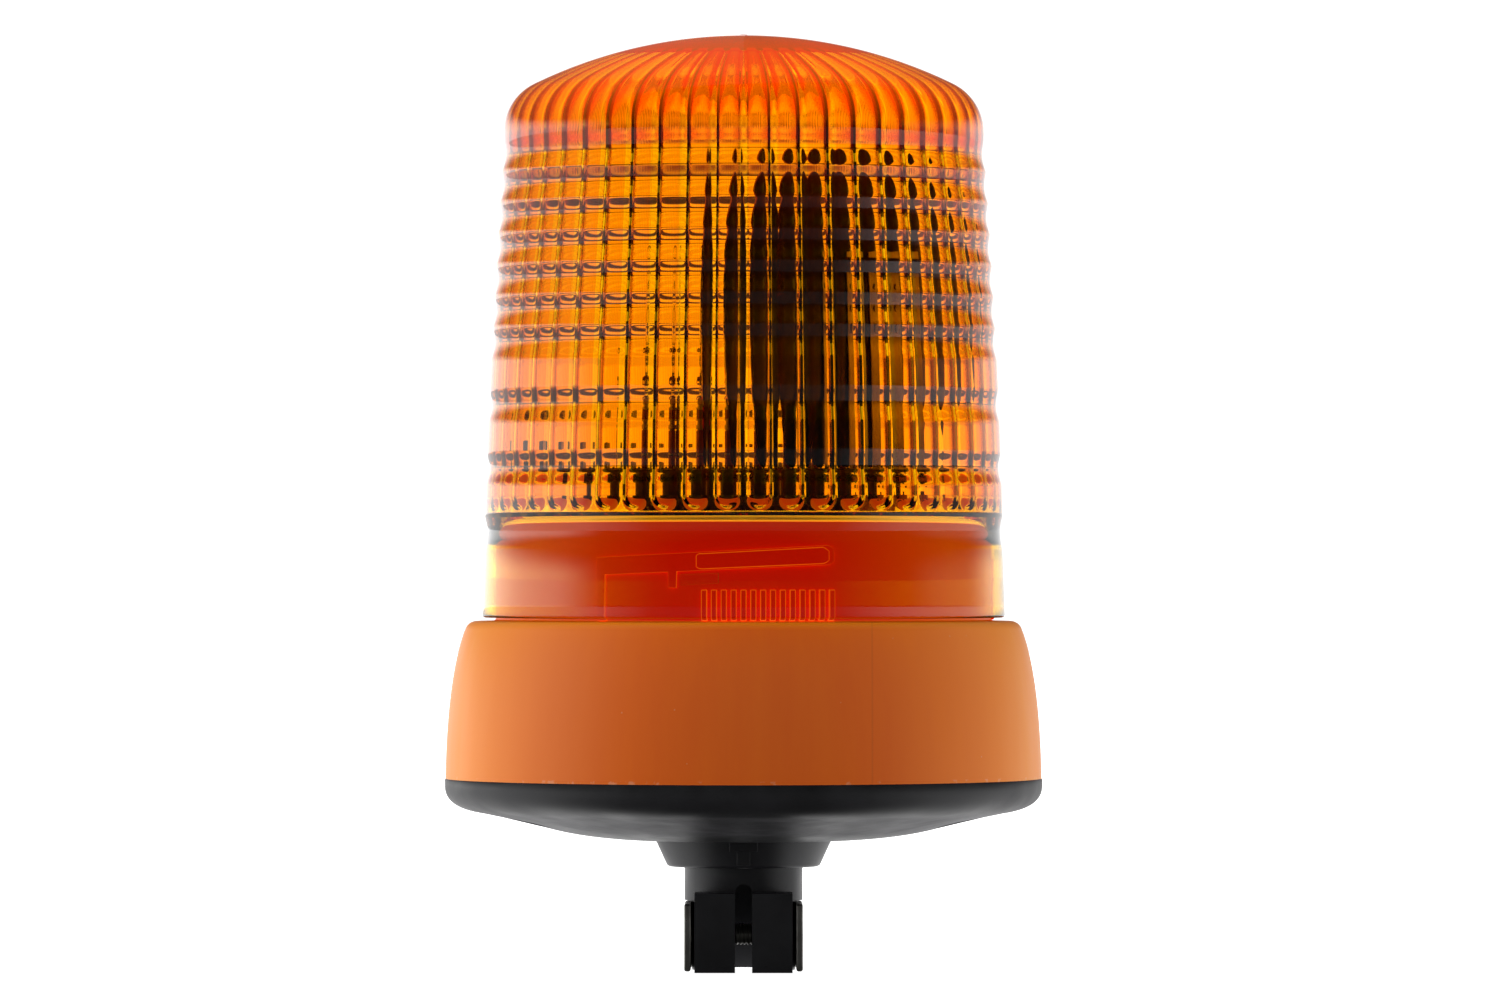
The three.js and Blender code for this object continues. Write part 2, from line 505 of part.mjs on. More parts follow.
/** The hollow steel post that the rotor turns on. */
const centrePost = () => lathe([
  [POST.bore, POST.z0], [POST.r, POST.z0], [POST.r, DECK.z1], [POST.flangeR, DECK.z1],
  [POST.flangeR, POST.flangeTop], [POST.r, POST.flangeTop], [POST.r, POST.z1], [POST.bore, POST.z1],
], FINE);

const postNut = () => cut(
  rod(POST.nutR, POST.nutZ0, DECK.z0, 0, 0, 6),
  rod(POST.r + GAP, POST.nutZ0 - 1, DECK.z0 + 1, 0, 0, FINE),
);

const retainingRing = () => cut(
  ring(CLIP.inner, CLIP.outer, CLIP.z0, CLIP.z1, FINE),
  box(-1.5, 1.5, -CLIP.outer - 1, 0, CLIP.z0 - 1, CLIP.z1 + 1),
);

/** The motor can with the bore for its shaft and the two screw holes in its face. */
function motorCan() {
  const [x, y] = motorCentre;
  const can = join(
    rod(MOTOR.r, MOTOR.z0, MOTOR.z1, x, y, FINE),
    rod(MOTOR.neckR, MOTOR.z0, MOTOR.neckTop, x, y),
    rod(MOTOR.endR, MOTOR.endZ, MOTOR.z0 + 1, x, y),
  );
  const screwHoles = motorScrewSides.map((side) =>
    rod(THREAD + GAP, MOTOR.z1 - MOTOR.screwDeep, MOTOR.z1 + 1, ...motorScrewAt(side)));
  return cut(can, rod(PINION.shaftR + GAP, MOTOR.boreZ, MOTOR.neckTop + 1, x, y), ...screwHoles);
}

const motorScrew = (side) => screw({
  r: THREAD, headR: MOTOR.screwHeadR, headFrom: DECK.z1, headTo: DECK.z1 + THREAD,
  end: MOTOR.z1 - MOTOR.screwDeep + GAP,
}, motorScrewAt(side));

/** The outline of a spur gear, with its first tooth at the given angle. */
function gearOutline(teeth, phase) {
  const pitchR = (MODULE * teeth) / 2;
  const root = pitchR - TOOTH.dedendum * MODULE;
  const tip = pitchR + TOOTH.addendum * MODULE;
  const step = 360 / teeth;
  return spread(teeth, phase).flatMap((a) => [
    at(root, a - TOOTH.rootShare * step), at(tip, a - TOOTH.tipShare * step),
    at(tip, a + TOOTH.tipShare * step), at(root, a + TOOTH.rootShare * step),
  ]);
}

/** The large gear with its raised hub; one tooth points at the motor at rest. */
function ringGear() {
  const phase = MOTOR.angle - ROTOR_ANGLE;
  const body = join(
    topPlate(gearOutline(GEAR.teeth, phase), GEAR.z0, GEAR.z1),
    rod(GEAR.hubR, GEAR.z0, GEAR.hubTop, 0, 0, FINE),
  );
  const screwHoles = spread(3).map((a) =>
    rod(THREAD + GAP, GEAR.z1, GEAR.hubTop + 1, ...at(ROTOR_SCREW.ring, a)));
  return cut(body, rod(GEAR.bore, GEAR.z0 - 1, GEAR.hubTop + 1, 0, 0, FINE), ...screwHoles);
}

/** The pinion; a gap between teeth faces the large gear at rest. */
function motorPinion() {
  const halfTooth = 180 / PINION.teeth;
  const outline = gearOutline(PINION.teeth, MOTOR.angle + 180 + halfTooth);
  const bore = rod(PINION.shaftR + PINION.fit, PINION.z0 - 1, PINION.z1 + 1);
  return cut(topPlate(outline, PINION.z0, PINION.z1), bore);
}

const motorShaft = () => rod(PINION.shaftR, MOTOR.shaftZ, PINION.z1 + 1);

// ---------- rotor: built facing +X, turned to its rest angle as a group ----------
const bearingBush = () => ring(BUSH.inner, BUSH.outer, BUSH.z0, BUSH.z1, FINE);

function rotorPlate() {
  const disc = rod(PLATE.r, PLATE.z0, PLATE.z1, 0, 0, ROUND);
  const hole = (r, [x, y], facets = SMALL) => rod(r, PLATE.z0 - 1, PLATE.z1 + 1, x, y, facets);
  const holes = [
    hole(GEAR.bore + GAP, [0, 0], FINE),
    ...PLATE.windowAngles.map((a) => hole(PLATE.window, at(PLATE.windowRing, a), FINE)),
    ...spread(3).map((a) => hole(THREAD + GAP, at(ROTOR_SCREW.ring, a))),
    ...bracketScrewAt.map((p) => hole(BRACKET.holeR, p)),
    hole(BRACKET.holeR, [WEIGHT.x, 0]),
  ];
  return cut(disc, ...holes);
}

const rotorScrew = (a) => screw({
  r: THREAD, headR: ROTOR_SCREW.headR, headFrom: PLATE.z1, headTo: ROTOR_SCREW.headTop,
  end: ROTOR_SCREW.end,
}, at(ROTOR_SCREW.ring, a));

/** A dish of the mirror's shape, moved back along its axis, opening towards +X. */
function dish(back, thick, rim) {
  const steps = 6;
  const depth = (r) => (r * r) / (4 * MIRROR.focal);
  const rear = Array.from({ length: steps + 1 }, (_, i) => {
    const r = (rim * i) / steps;
    return [r, depth(r) - back - thick];
  });
  const face = rear.map(([r, d]) => [r, d + thick]).reverse();
  return lathe([...rear, ...face], ROUND).rotate([0, 90, 0]).translate([-MIRROR.focal, 0, FOCUS_Z]);
}

const rotorWell = () => rod(MIRROR.well, PLATE.z0, MIRROR.wellTop, 0, 0, FINE);
const bossEnd = -MIRROR.focal - MIRROR.thick - SHELL.gap - SHELL.thick - SHELL.bossOut;

/** The chromed parabolic mirror with a screw boss on its back and room for the bulb below. */
function reflector() {
  const boss = rodX(MIRROR.bossR, bossEnd, -MIRROR.focal - MIRROR.thick / 2, 0, FOCUS_Z, FINE);
  const pilot = rodX(THREAD + GAP, bossEnd - 1, -MIRROR.focal - MIRROR.thick, 0, FOCUS_Z);
  return cut(join(dish(0, MIRROR.thick, MIRROR.rim), boss), pilot, rotorWell());
}

/** The black cover behind the mirror. */
function reflectorShell() {
  const bossHole = rodX(MIRROR.bossR + GAP, bossEnd - OVER, -MIRROR.focal + OVER, 0, FOCUS_Z, FINE);
  return cut(dish(MIRROR.thick + SHELL.gap, SHELL.thick, SHELL.rim), bossHole, rotorWell());
}

const bracketX = bossEnd - BRACKET.thick;
const bracketScrewAt = [-BRACKET.screwY, BRACKET.screwY].map((y) => [bracketX - BRACKET.foot / 2, y]);

/** The steel angle that holds the mirror on the rotor plate. */
function reflectorBracket() {
  const half = BRACKET.width / 2;
  const upright = box(bracketX, bossEnd, -half, half, PLATE.z1, BRACKET.top);
  const foot = box(bracketX - BRACKET.foot, bossEnd, -half, half, PLATE.z1, PLATE.z1 + BRACKET.thick);
  const holes = [
    rodX(THREAD + GAP, bracketX - 1, bossEnd + 1, 0, FOCUS_Z),
    ...bracketScrewAt.map(([x, y]) => rod(BRACKET.holeR, PLATE.z0, PLATE.z1 + OVER, x, y)),
  ];
  return cut(join(upright, foot), ...holes);
}

const bracketScrew = (place) => screw({
  r: BRACKET.holeR - GAP, headR: BRACKET.headR, headFrom: PLATE.z1 + BRACKET.thick,
  headTo: PLATE.z1 + BRACKET.thick + BRACKET.headTall, end: PLATE.z0 - OVER,
}, place);

const reflectorScrew = () => join(
  rodX(THREAD, bracketX - 1, -MIRROR.focal - MIRROR.thick - GAP, 0, FOCUS_Z),
  rodX(BRACKET.headR, bracketX - BRACKET.headTall, bracketX, 0, FOCUS_Z),
);

/** The balance weight opposite the mirror, with its rivet shank below. */
function counterweight() {
  const half = WEIGHT.y;
  const block = box(WEIGHT.x - WEIGHT.deep / 2, WEIGHT.x + WEIGHT.deep / 2, -half, half,
    PLATE.z1, PLATE.z1 + WEIGHT.tall);
  const rivet = rod(BRACKET.holeR - GAP, PLATE.z0, PLATE.z1 + 1, WEIGHT.x, 0);
  return join(block, rivet);
}

// ---------- bulb ----------
const bulbHolder = () => cut(
  join(rod(HOLDER.r, HOLDER.z0, HOLDER.z1, 0, 0, FINE),
    rod(HOLDER.spigot, HOLDER.spigotZ, HOLDER.z0 + 1, 0, 0, FINE)),
  rod(HOLDER.bore, HOLDER.spigotZ - 1, HOLDER.z1 + 1, 0, 0, SMALL),
);

const bulbBase = () => lathe([
  [0, BULB.pinZ], [BULB.pinR, BULB.pinZ], [BULB.pinR, HOLDER.z1], [BULB.baseR, HOLDER.z1],
  [BULB.baseR, BULB.flangeTop], [BULB.neckR + 1, BULB.flangeTop], [BULB.neckR + 1, BULB.baseTop],
  [0, BULB.baseTop],
], FINE);

/** The quartz envelope: a thin tube open where it is cemented into the base. */
function bulbGlass() {
  const t = BULB.glassWall;
  const dome = BULB.glassTop - BULB.glassR;
  return lathe([
    [BULB.neckR, BULB.baseTop], [BULB.glassR, BULB.neckTop],
    ...arc(0, dome, BULB.glassR, 0, 90, 5).slice(0, -1), [0, BULB.glassTop], [0, BULB.glassTop - t],
    ...arc(0, dome, BULB.glassR - t, 90, 0, 5).slice(1), [BULB.glassR - t, BULB.neckTop],
    [BULB.neckR - t, BULB.baseTop],
  ], FINE);
}

/** A coiled filament on two straight legs. */
class FilamentCurve extends THREE.Curve {
  getPoint(t, target = new THREE.Vector3()) {
    const { coilR, turns, length, legZ, legShare, legOut } = FILAMENT;
    const bottom = FOCUS_Z - length / 2;
    const top = FOCUS_Z + length / 2;
    if (t < legShare) return target.set(coilR, 0, legZ + (t / legShare) * (bottom - legZ));
    if (t > 1 - legShare) {
      const s = (t - 1 + legShare) / legShare;
      const out = Math.min(1, 4 * s);
      return target.set(-coilR - out * legOut, 0, top - s * (top - legZ));
    }
    const s = (t - legShare) / (1 - 2 * legShare);
    const a = 2 * Math.PI * turns * s;
    return target.set(coilR * Math.cos(a), coilR * Math.sin(a), bottom + length * s);
  }
}

const filament = () => wire(new FilamentCurve(), FILAMENT.wireR, 64, 4);

/** The wire clip over the bulb's flange, with its two ends hooked down. */
function bulbClip() {
  const hook = ([x, y]) => [x - 0.5, y, BULB_CLIP.hookZ];
  const loop = CLIP_PATH.map(([x, y]) => [x, y, BULB_CLIP.z]);
  const path = [hook(CLIP_PATH[0]), ...loop, hook(CLIP_PATH[CLIP_PATH.length - 1])];
  return wire(through(path), BULB_CLIP.wireR, 26, 4);
}

// ---------- suppressor board and wiring ----------
const suppressorBoard = () => box(BOARD.x0, BOARD.x1, BOARD.y0, BOARD.y1, BOARD.z0, BOARD.z1);

const choke = () =>
  ring(CHOKE.inner, CHOKE.outer, BOARD.z0 - CHOKE.tall, BOARD.z0, SMALL).translate([CHOKE.x, CHOKE.y, 0]);

const capacitor = () =>
  box(CAPACITOR.x0, CAPACITOR.x1, CAPACITOR.y0, CAPACITOR.y1, BOARD.z0 - CAPACITOR.tall, BOARD.z0);

const terminalY = (TERMINALS.y0 + TERMINALS.y1) / 2;
const terminalZ = BOARD.z0 - TERMINALS.tall;

/** The terminal block under the board, with one wire entry for each lead. */
function terminalBlock() {
  const block = box(TERMINALS.x0, TERMINALS.x1, TERMINALS.y0, TERMINALS.y1, terminalZ, BOARD.z0);
  const entries = TERMINALS.xs.map((x) =>
    rod(TERMINALS.entryR, terminalZ - 1, terminalZ + TERMINALS.entryDeep, x, terminalY));
  return cut(block, ...entries);
}

/** A lead that ends straight up in a terminal; its first points are given. */
function lead(points, terminalX) {
  const ends = [-4, 0, 4].map((up) => [terminalX, terminalY, terminalZ + up]);
  return wire(through([...points, ...ends]), LEAD.r, LEAD.steps, LEAD.sides);
}
const leadPositive = () =>
  lead([[0, 0, PIN.top + 3.8], [-6, 1, PIN.top + 9], [-20, 7, 76]], TERMINALS.xs[1]);
const leadNegative = () =>
  lead([[-15, 15, FLANGE.z1 + 1.6], [-22, 19, 50], [-34, 16, 68]], TERMINALS.xs[0]);

// ---------- the assembly ----------
const beacon = new THREE.Group();
const turned = (group, x, y, z, degrees = 0) => {
  group.position.set(x, y, z);
  group.rotation.z = rad(degrees);
  beacon.add(group);
  return group;
};
const clampGroup = turned(new THREE.Group(), 0, CLAMP.y, CLAMP.z);
const rotorGroup = turned(new THREE.Group(), 0, 0, 0, ROTOR_ANGLE);
const pinionGroup = turned(new THREE.Group(), ...motorCentre, 0);

/** Adds one sub-part to a group as a named mesh. */
function add(group, name, body, material) {
  const mesh = new THREE.Mesh(toGeometry(body), material);
  mesh.name = name;
  group.add(mesh);
}

add(beacon, 'pole_socket', poleSocket(), BLACK());
add(beacon, 'clamp_strap', clampStrap(), STEEL());
add(clampGroup, 'clamp_bolt', clampBolt(), STEEL());
add(clampGroup, 'clamp_washer', clampWasher(), STEEL());
add(beacon, 'clamp_nut', clampNut(), STEEL());
add(beacon, 'contact_carrier', contactCarrier(), NYLON());
add(beacon, 'contact_pin', contactPin(), BRASS());
add(beacon, 'contact_spring', contactSpring(), STEEL());
add(beacon, 'collar', collar(), BLACK());
add(beacon, 'base_pan', basePan(), BLACK());
add(beacon, 'seam_gasket', seamGasket(), RUBBER());
add(beacon, 'housing', housing(), ORANGE());
add(beacon, 'lens_seal', lensSeal(), SILICONE());
add(beacon, 'lens_dome', lensDome(), AMBER());
add(beacon, 'deck', deck(), ORANGE());
add(beacon, 'centre_post', centrePost(), STEEL());
add(beacon, 'post_nut', postNut(), STEEL());
add(beacon, 'retaining_ring', retainingRing(), STEEL());
add(beacon, 'motor_can', motorCan(), STEEL());
add(pinionGroup, 'motor_shaft', motorShaft(), STEEL());
add(pinionGroup, 'motor_pinion', motorPinion(), NYLON());
add(rotorGroup, 'ring_gear', ringGear(), BLACK());
add(rotorGroup, 'bearing_bush', bearingBush(), BRONZE());
add(rotorGroup, 'rotor_plate', rotorPlate(), BLACK());
add(rotorGroup, 'reflector', reflector(), CHROME());
add(rotorGroup, 'reflector_shell', reflectorShell(), BLACK());
add(rotorGroup, 'reflector_bracket', reflectorBracket(), STEEL());
add(rotorGroup, 'reflector_screw', reflectorScrew(), STEEL());
add(rotorGroup, 'counterweight', counterweight(), STEEL());
add(beacon, 'bulb_holder', bulbHolder(), NYLON());
add(beacon, 'bulb_base', bulbBase(), STEEL());
add(beacon, 'bulb_glass', bulbGlass(), GLASS());
add(beacon, 'filament', filament(), STEEL());
add(beacon, 'bulb_clip', bulbClip(), STEEL());
add(beacon, 'suppressor_board', suppressorBoard(), GREEN());
add(beacon, 'choke', choke(), BRONZE());
add(beacon, 'capacitor', capacitor(), RED());
add(beacon, 'terminal_block', terminalBlock(), NYLON());
add(beacon, 'lead_positive', leadPositive(), RED());
add(beacon, 'lead_negative', leadNegative(), BLACK());
PAN_SCREW.angles.forEach((a, i) => add(beacon, `pan_screw_${i + 1}`, panScrew(a), STEEL()));
socketScrewAngles.forEach((a, i) => add(beacon, `socket_screw_${i + 1}`, socketScrew(a), STEEL()));
deckScrewAngles.forEach((a, i) => add(beacon, `deck_screw_${i + 1}`, deckScrew(a), STEEL()));
motorScrewSides.forEach((side, i) => add(beacon, `motor_screw_${i + 1}`, motorScrew(side), STEEL()));
spread(3).forEach((a, i) => add(rotorGroup, `rotor_screw_${i + 1}`, rotorScrew(a), STEEL()));
bracketScrewAt.forEach((p, i) => add(rotorGroup, `bracket_screw_${i + 1}`, bracketScrew(p), STEEL()));

export default beacon;
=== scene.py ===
"""Looks for the amber rotating beacon: smooth visible shells, materials, light and camera.

Lengths named in millimetres are turned into metres by MM. Heights and radii match the CAD frame.
"""

import json
import math

import bmesh
import bpy
from mathutils import Matrix, Vector


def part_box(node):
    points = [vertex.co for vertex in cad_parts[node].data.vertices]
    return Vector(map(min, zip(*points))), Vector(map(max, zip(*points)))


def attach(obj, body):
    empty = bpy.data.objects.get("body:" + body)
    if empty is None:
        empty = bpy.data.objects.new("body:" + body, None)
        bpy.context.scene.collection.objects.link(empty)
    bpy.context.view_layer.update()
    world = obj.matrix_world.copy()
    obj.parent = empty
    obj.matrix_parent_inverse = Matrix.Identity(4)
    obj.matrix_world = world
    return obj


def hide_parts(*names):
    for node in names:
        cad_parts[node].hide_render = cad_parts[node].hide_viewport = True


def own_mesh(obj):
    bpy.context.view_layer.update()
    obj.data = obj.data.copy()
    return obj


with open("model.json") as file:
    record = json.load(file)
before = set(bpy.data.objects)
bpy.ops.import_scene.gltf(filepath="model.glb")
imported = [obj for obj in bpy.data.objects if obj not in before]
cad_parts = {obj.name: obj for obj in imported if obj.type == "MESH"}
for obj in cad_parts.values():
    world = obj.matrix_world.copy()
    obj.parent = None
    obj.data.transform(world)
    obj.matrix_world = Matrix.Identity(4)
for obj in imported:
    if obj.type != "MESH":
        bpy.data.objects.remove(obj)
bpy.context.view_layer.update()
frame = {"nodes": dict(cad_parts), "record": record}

MM = 0.001
TAU = 2 * math.pi


# ---------- places read from the frame, in millimetres ----------
def extent(node):
    """Lowest and highest corners of a CAD node, in millimetres."""
    low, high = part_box(node)
    return Vector(low) / MM, Vector(high) / MM


LENS_LOW, LENS_HIGH = extent("lens_dome")
HOUSING_LOW = extent("housing")[0]
PAN_HIGH = extent("base_pan")[1]
COLLAR_HIGH = extent("collar")[1]
STRAP_LOW, STRAP_HIGH = extent("clamp_strap")
BOLT_LOW = extent("clamp_bolt")[0]
GLASS_LOW, GLASS_HIGH = extent("bulb_glass")

# ---------- lens form, in millimetres ----------
RING_COUNT = 12
RING_LOW, RING_HIGH = 123.1, 224.7
RING_DEPTH = 0.74
RING_POWER = 1.1  # above 1 the hollows narrow a little towards the cusps
FLAT_BANDS = (0, 2, 4)  # bands without a hollow, counted from the lowest
FLUTE_COUNT = 50
FLUTE_LOW = 123.9
FLUTE_SHARE = 0.375  # half-width of a flute's hollow as a share of its pitch
FLUTE_EDGE = math.radians(50)  # slope where the hollow meets the rounded ridge
FLUTE_TOP_R = 35.0
WALL = 4.2
SHOULDER_Z, SHOULDER_R, SHOULDER_FILLET = 227.2, 65.3, 14.5
CROWN_R = 130.0
SKIRT_INNER = 68.5
OUTER_COLUMNS = 250
FLUTE_COLUMNS = (-0.5, -0.45, -0.4, -0.35, -0.28, -0.19, -0.1, 0.0, 0.1, 0.19, 0.28, 0.35, 0.4, 0.45)


# ---------- mesh helpers ----------
def new_object(name, mesh, body):
    obj = bpy.data.objects.new(name, mesh)
    bpy.context.collection.objects.link(obj)
    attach(obj, body)
    return obj


def shade(mesh, angle=40):
    """Smooth shading, with edges sharper than the angle left crisp."""
    for face in mesh.polygons:
        face.use_smooth = True
    mesh.set_sharp_from_angle(angle=math.radians(angle))


def mesh_from(name, points, faces):
    """A mesh from points in millimetres, with its normals facing out."""
    mesh = bpy.data.meshes.new(name)
    mesh.from_pydata([Vector(p) * MM for p in points], [], faces)
    work = bmesh.new()
    work.from_mesh(mesh)
    bmesh.ops.recalc_face_normals(work, faces=work.faces)
    work.to_mesh(mesh)
    work.free()
    return mesh


def lathe_data(profile, columns):
    """Points and faces of a closed profile of (r, z) turned about Z. Radius 0 gives one point."""
    rows = []
    points = []
    for r, z in profile:
        if r < 1e-6:
            rows.append([len(points)] * columns)
            points.append((0, 0, z))
            continue
        rows.append(list(range(len(points), len(points) + columns)))
        points += [(r * math.cos(TAU * i / columns), r * math.sin(TAU * i / columns), z)
                   for i in range(columns)]
    faces = []
    for a, b in zip(rows, rows[1:] + rows[:1]):
        for i in range(columns):
            j = (i + 1) % columns
            corners = list(dict.fromkeys((a[i], a[j], b[j], b[i])))
            if len(corners) > 2:
                faces.append(corners)
    return points, faces


def lathe(name, profile, columns, body, angle=40):
    mesh = mesh_from(name, *lathe_data(profile, columns))
    shade(mesh, angle)
    return new_object(name, mesh, body)


def arc(r, z, radius, start, end, steps):
    """Points of an arc in a profile about (r, z), from start to end in degrees."""
    return [(r + radius * math.cos(math.radians(start + (end - start) * i / steps)),
             z + radius * math.sin(math.radians(start + (end - start) * i / steps)))
            for i in range(steps + 1)]


def curve_through(a, b, c, steps):
    """Points of a quadratic curve from a to c, pulled towards b."""
    found = []
    for i in range(steps + 1):
        t = i / steps
        found.append(tuple((1 - t) ** 2 * p + 2 * t * (1 - t) * q + t * t * s
                           for p, q, s in zip(a, b, c)))
    return found


def tool(kind, **size):
    """An unlinked mesh object used to build up or cut a solid: a box or a rod."""
    work = bmesh.new()
    if kind == "box":
        low, high = Vector(size["low"]) * MM, Vector(size["high"]) * MM
        bmesh.ops.create_cube(work, size=1)
        scale = Matrix.Diagonal((*(high - low), 1))
        bmesh.ops.transform(work, matrix=Matrix.Translation((low + high) / 2) @ scale, verts=work.verts)
    else:
        start, end = Vector(size["start"]) * MM, Vector(size["end"]) * MM
        bmesh.ops.create_cone(work, cap_ends=True, segments=size.get("sides", 64),
                              radius1=size["r"] * MM, radius2=size.get("r2", size["r"]) * MM,
                              depth=(end - start).length)
        turn = (end - start).to_track_quat("Z", "Y").to_matrix().to_4x4()
        bmesh.ops.transform(work, matrix=Matrix.Translation((start + end) / 2) @ turn, verts=work.verts)
    mesh = bpy.data.meshes.new("tool")
    work.to_mesh(mesh)
    work.free()
    return bpy.data.objects.new("tool", mesh)


def box(x0, x1, y0, y1, z0, z1):
    return tool("box", low=(x0, y0, z0), high=(x1, y1, z1))


def rod(r, start, end, sides=64):
    return tool("rod", r=r, start=start, end=end, sides=sides)


def tube_rod(r, z0, z1, sides=96):
    return rod(r, (0, 0, z0), (0, 0, z1), sides)


def built(name, body, first, steps, bevel=0.0, angle=40, segments=3):
    """A solid made from a first mesh object by unions and cuts, with rounded edges."""
    obj = new_object(name, first.data, body)
    bpy.data.objects.remove(first)
    tools = []
    for operation, part in steps:
        bpy.context.collection.objects.link(part)
        part.hide_render = True
        modifier = obj.modifiers.new("step", "BOOLEAN")
        modifier.operation, modifier.object, modifier.solver = operation, part, "EXACT"
        tools.append(part)
    graph = bpy.context.evaluated_depsgraph_get()
    mesh = bpy.data.meshes.new_from_object(obj.evaluated_get(graph), depsgraph=graph)
    obj.modifiers.clear()
    obj.data = mesh
    for part in tools:
        bpy.data.objects.remove(part)
    work = bmesh.new()
    work.from_mesh(mesh)
    bmesh.ops.remove_doubles(work, verts=work.verts, dist=1e-6)
    bmesh.ops.dissolve_limit(work, angle_limit=math.radians(0.5), verts=work.verts, edges=work.edges)
    work.to_mesh(mesh)
    work.free()
    if bevel:
        modifier = obj.modifiers.new("edges", "BEVEL")
        modifier.width, modifier.segments = bevel * MM, segments
        modifier.limit_method, modifier.angle_limit = "ANGLE", math.radians(35)
        modifier.harden_normals = True
    shade(mesh, angle)
    return obj


# ---------- material helpers ----------
class Nodes:
    """A short way to write a material's node tree."""

    def __init__(self, name):
        self.material = bpy.data.materials.new(name)
        self.material.use_nodes = True
        self.tree = self.material.node_tree
        self.shader = self.tree.nodes["Principled BSDF"]
        self.output = self.tree.nodes["Material Output"]

    def add(self, kind, inputs=None, **settings):
        node = self.tree.nodes.new(kind)
        for key, value in settings.items():
            setattr(node, key, value)
        for key, value in (inputs or {}).items():
            self.feed(node.inputs[key], value)
        return node

    def feed(self, socket, value):
        if isinstance(value, bpy.types.NodeSocket):
            self.tree.links.new(value, socket)
        elif isinstance(value, bpy.types.Node):
            self.tree.links.new(value.outputs[0], socket)
        else:
            socket.default_value = value

    def set(self, **inputs):
        for key, value in inputs.items():
            self.feed(self.shader.inputs[key.replace("_", " ").title().replace("Ior", "IOR")], value)

    def place(self, scale=(1, 1, 1)):
        """Object coordinates in millimetres, stretched by a scale."""
        where = self.add("ShaderNodeTexCoord").outputs["Object"]
        return self.add("ShaderNodeMapping", {"Vector": where, "Scale": [s / MM for s in scale]})

    def noise(self, scale, detail=4.0, stretch=(1, 1, 1), roughness=0.55):
        return self.add("ShaderNodeTexNoise", {
            "Vector": self.place(stretch), "Scale": scale, "Detail": detail, "Roughness": roughness,
        }).outputs["Fac"]

    def ramp(self, value, low, high, out_low=0.0, out_high=1.0):
        node = self.add("ShaderNodeMapRange", {
            "Value": value, "From Min": low, "From Max": high, "To Min": out_low, "To Max": out_high,
        })
        return node.outputs["Result"]

    def math(self, operation, a, b=0.0, c=0.0):
        node = self.add("ShaderNodeMath", operation=operation)
        for socket, value in zip(node.inputs, (a, b, c)):
            self.feed(socket, value)
        return node.outputs[0]

    def mix(self, factor, a, b):
        node = self.add("ShaderNodeMix", data_type="RGBA")
        for socket, value in zip((node.inputs[0], node.inputs[6], node.inputs[7]), (factor, a, b)):
            self.feed(socket, value)
        return node.outputs[2]

    def bump(self, height, distance, strength=1.0):
        return self.add("ShaderNodeBump", {
            "Height": height, "Distance": distance * MM, "Strength": strength,
        }).outputs["Normal"]

    def split(self, vector):
        return self.add("ShaderNodeSeparateXYZ", {"Vector": vector}).outputs

    def object_mm(self):
        """The three object coordinates in millimetres."""
        return self.split(self.place())


def rgb(red, green, blue):
    """A colour given as screen values from 0 to 255, in linear light."""
    def linear(value):
        c = value / 255
        return c / 12.92 if c <= 0.04045 else ((c + 0.055) / 1.055) ** 2.4
    return (linear(red), linear(green), linear(blue), 1.0)


def coloured(name, colour, darker, roughness, spot_scale, bump=0.02, metal=0.0, coat=0.0):
    """Moulded or metal finish: two close tones, uneven roughness and a fine surface."""
    n = Nodes(name)
    tone = n.noise(spot_scale, 5)
    fine = n.noise(spot_scale * 9, 3)
    n.set(base_color=n.mix(n.ramp(tone, 0.35, 0.65), colour, darker), metallic=metal,
          roughness=n.ramp(tone, 0.3, 0.7, roughness - 0.06, roughness + 0.08),
          coat_weight=coat, normal=n.bump(fine, bump, 0.5))
    return n.material


AMBER_PALE = (1.0, 0.82, 0.12, 1.0)
# painted shade: the amber is deepened in the flute hollows to stand in for the shade seen through them
AMBER_HOLLOW_SHADE = (0.97, 0.34, 0.01, 1.0)  # in the hollows of the flutes
CROWN_LOW, CROWN_TOP = 226.0, 246.0
CROWN_GLOW = 0.16  # light added to the crown at its top, standing in for what it gathers


def amber_material():
    """Clear amber plastic: tinted at its faces, deeper through thick paths, with painted shade deepening the
    colour in the flutes and a faint painted glow added to the crown."""
    n = Nodes("amber_lens")
    ripple = n.noise(0.12, 3)
    hollow = n.add("ShaderNodeAttribute", attribute_name="hollow").outputs["Fac"]
    # painted shade deepens the tint where the flutes are hollowest
    tint = n.mix(n.ramp(hollow, 0.15, 0.5), AMBER_PALE, AMBER_HOLLOW_SHADE)
    crown = n.ramp(n.object_mm()[2], CROWN_LOW, CROWN_TOP, 0.0, CROWN_GLOW)
    n.set(base_color=tint, roughness=n.ramp(ripple, 0.3, 0.7, 0.015, 0.04), ior=1.49,
          transmission_weight=1.0, normal=n.bump(ripple, 0.02, 0.6),
          emission_color=(1.0, 0.17, 0.0, 1.0), emission_strength=crown)
    absorb = n.add("ShaderNodeVolumeAbsorption", {"Color": (1.0, 0.885, 0.0, 1.0), "Density": 520.0})
    n.feed(n.output.inputs["Volume"], absorb.outputs[0])
    return n.material


# Painted light on the neck: the deeper red stands in for light filtered through the dome, the orange for a
# sheen where the neck is seen edge on.
NECK_FILTERED_RED = (0.9, 0.015, 0.001, 1.0)
NECK_EDGE_SHEEN = (0.95, 0.16, 0.008, 1.0)
NECK_GLOW = 0.36  # light added to the neck, standing in for what the dome passes down to it
PARTING_X = 34.0  # where the parting line runs down the front
SEAM_Z = 52.6
SHOULDER_TOP = 94.6


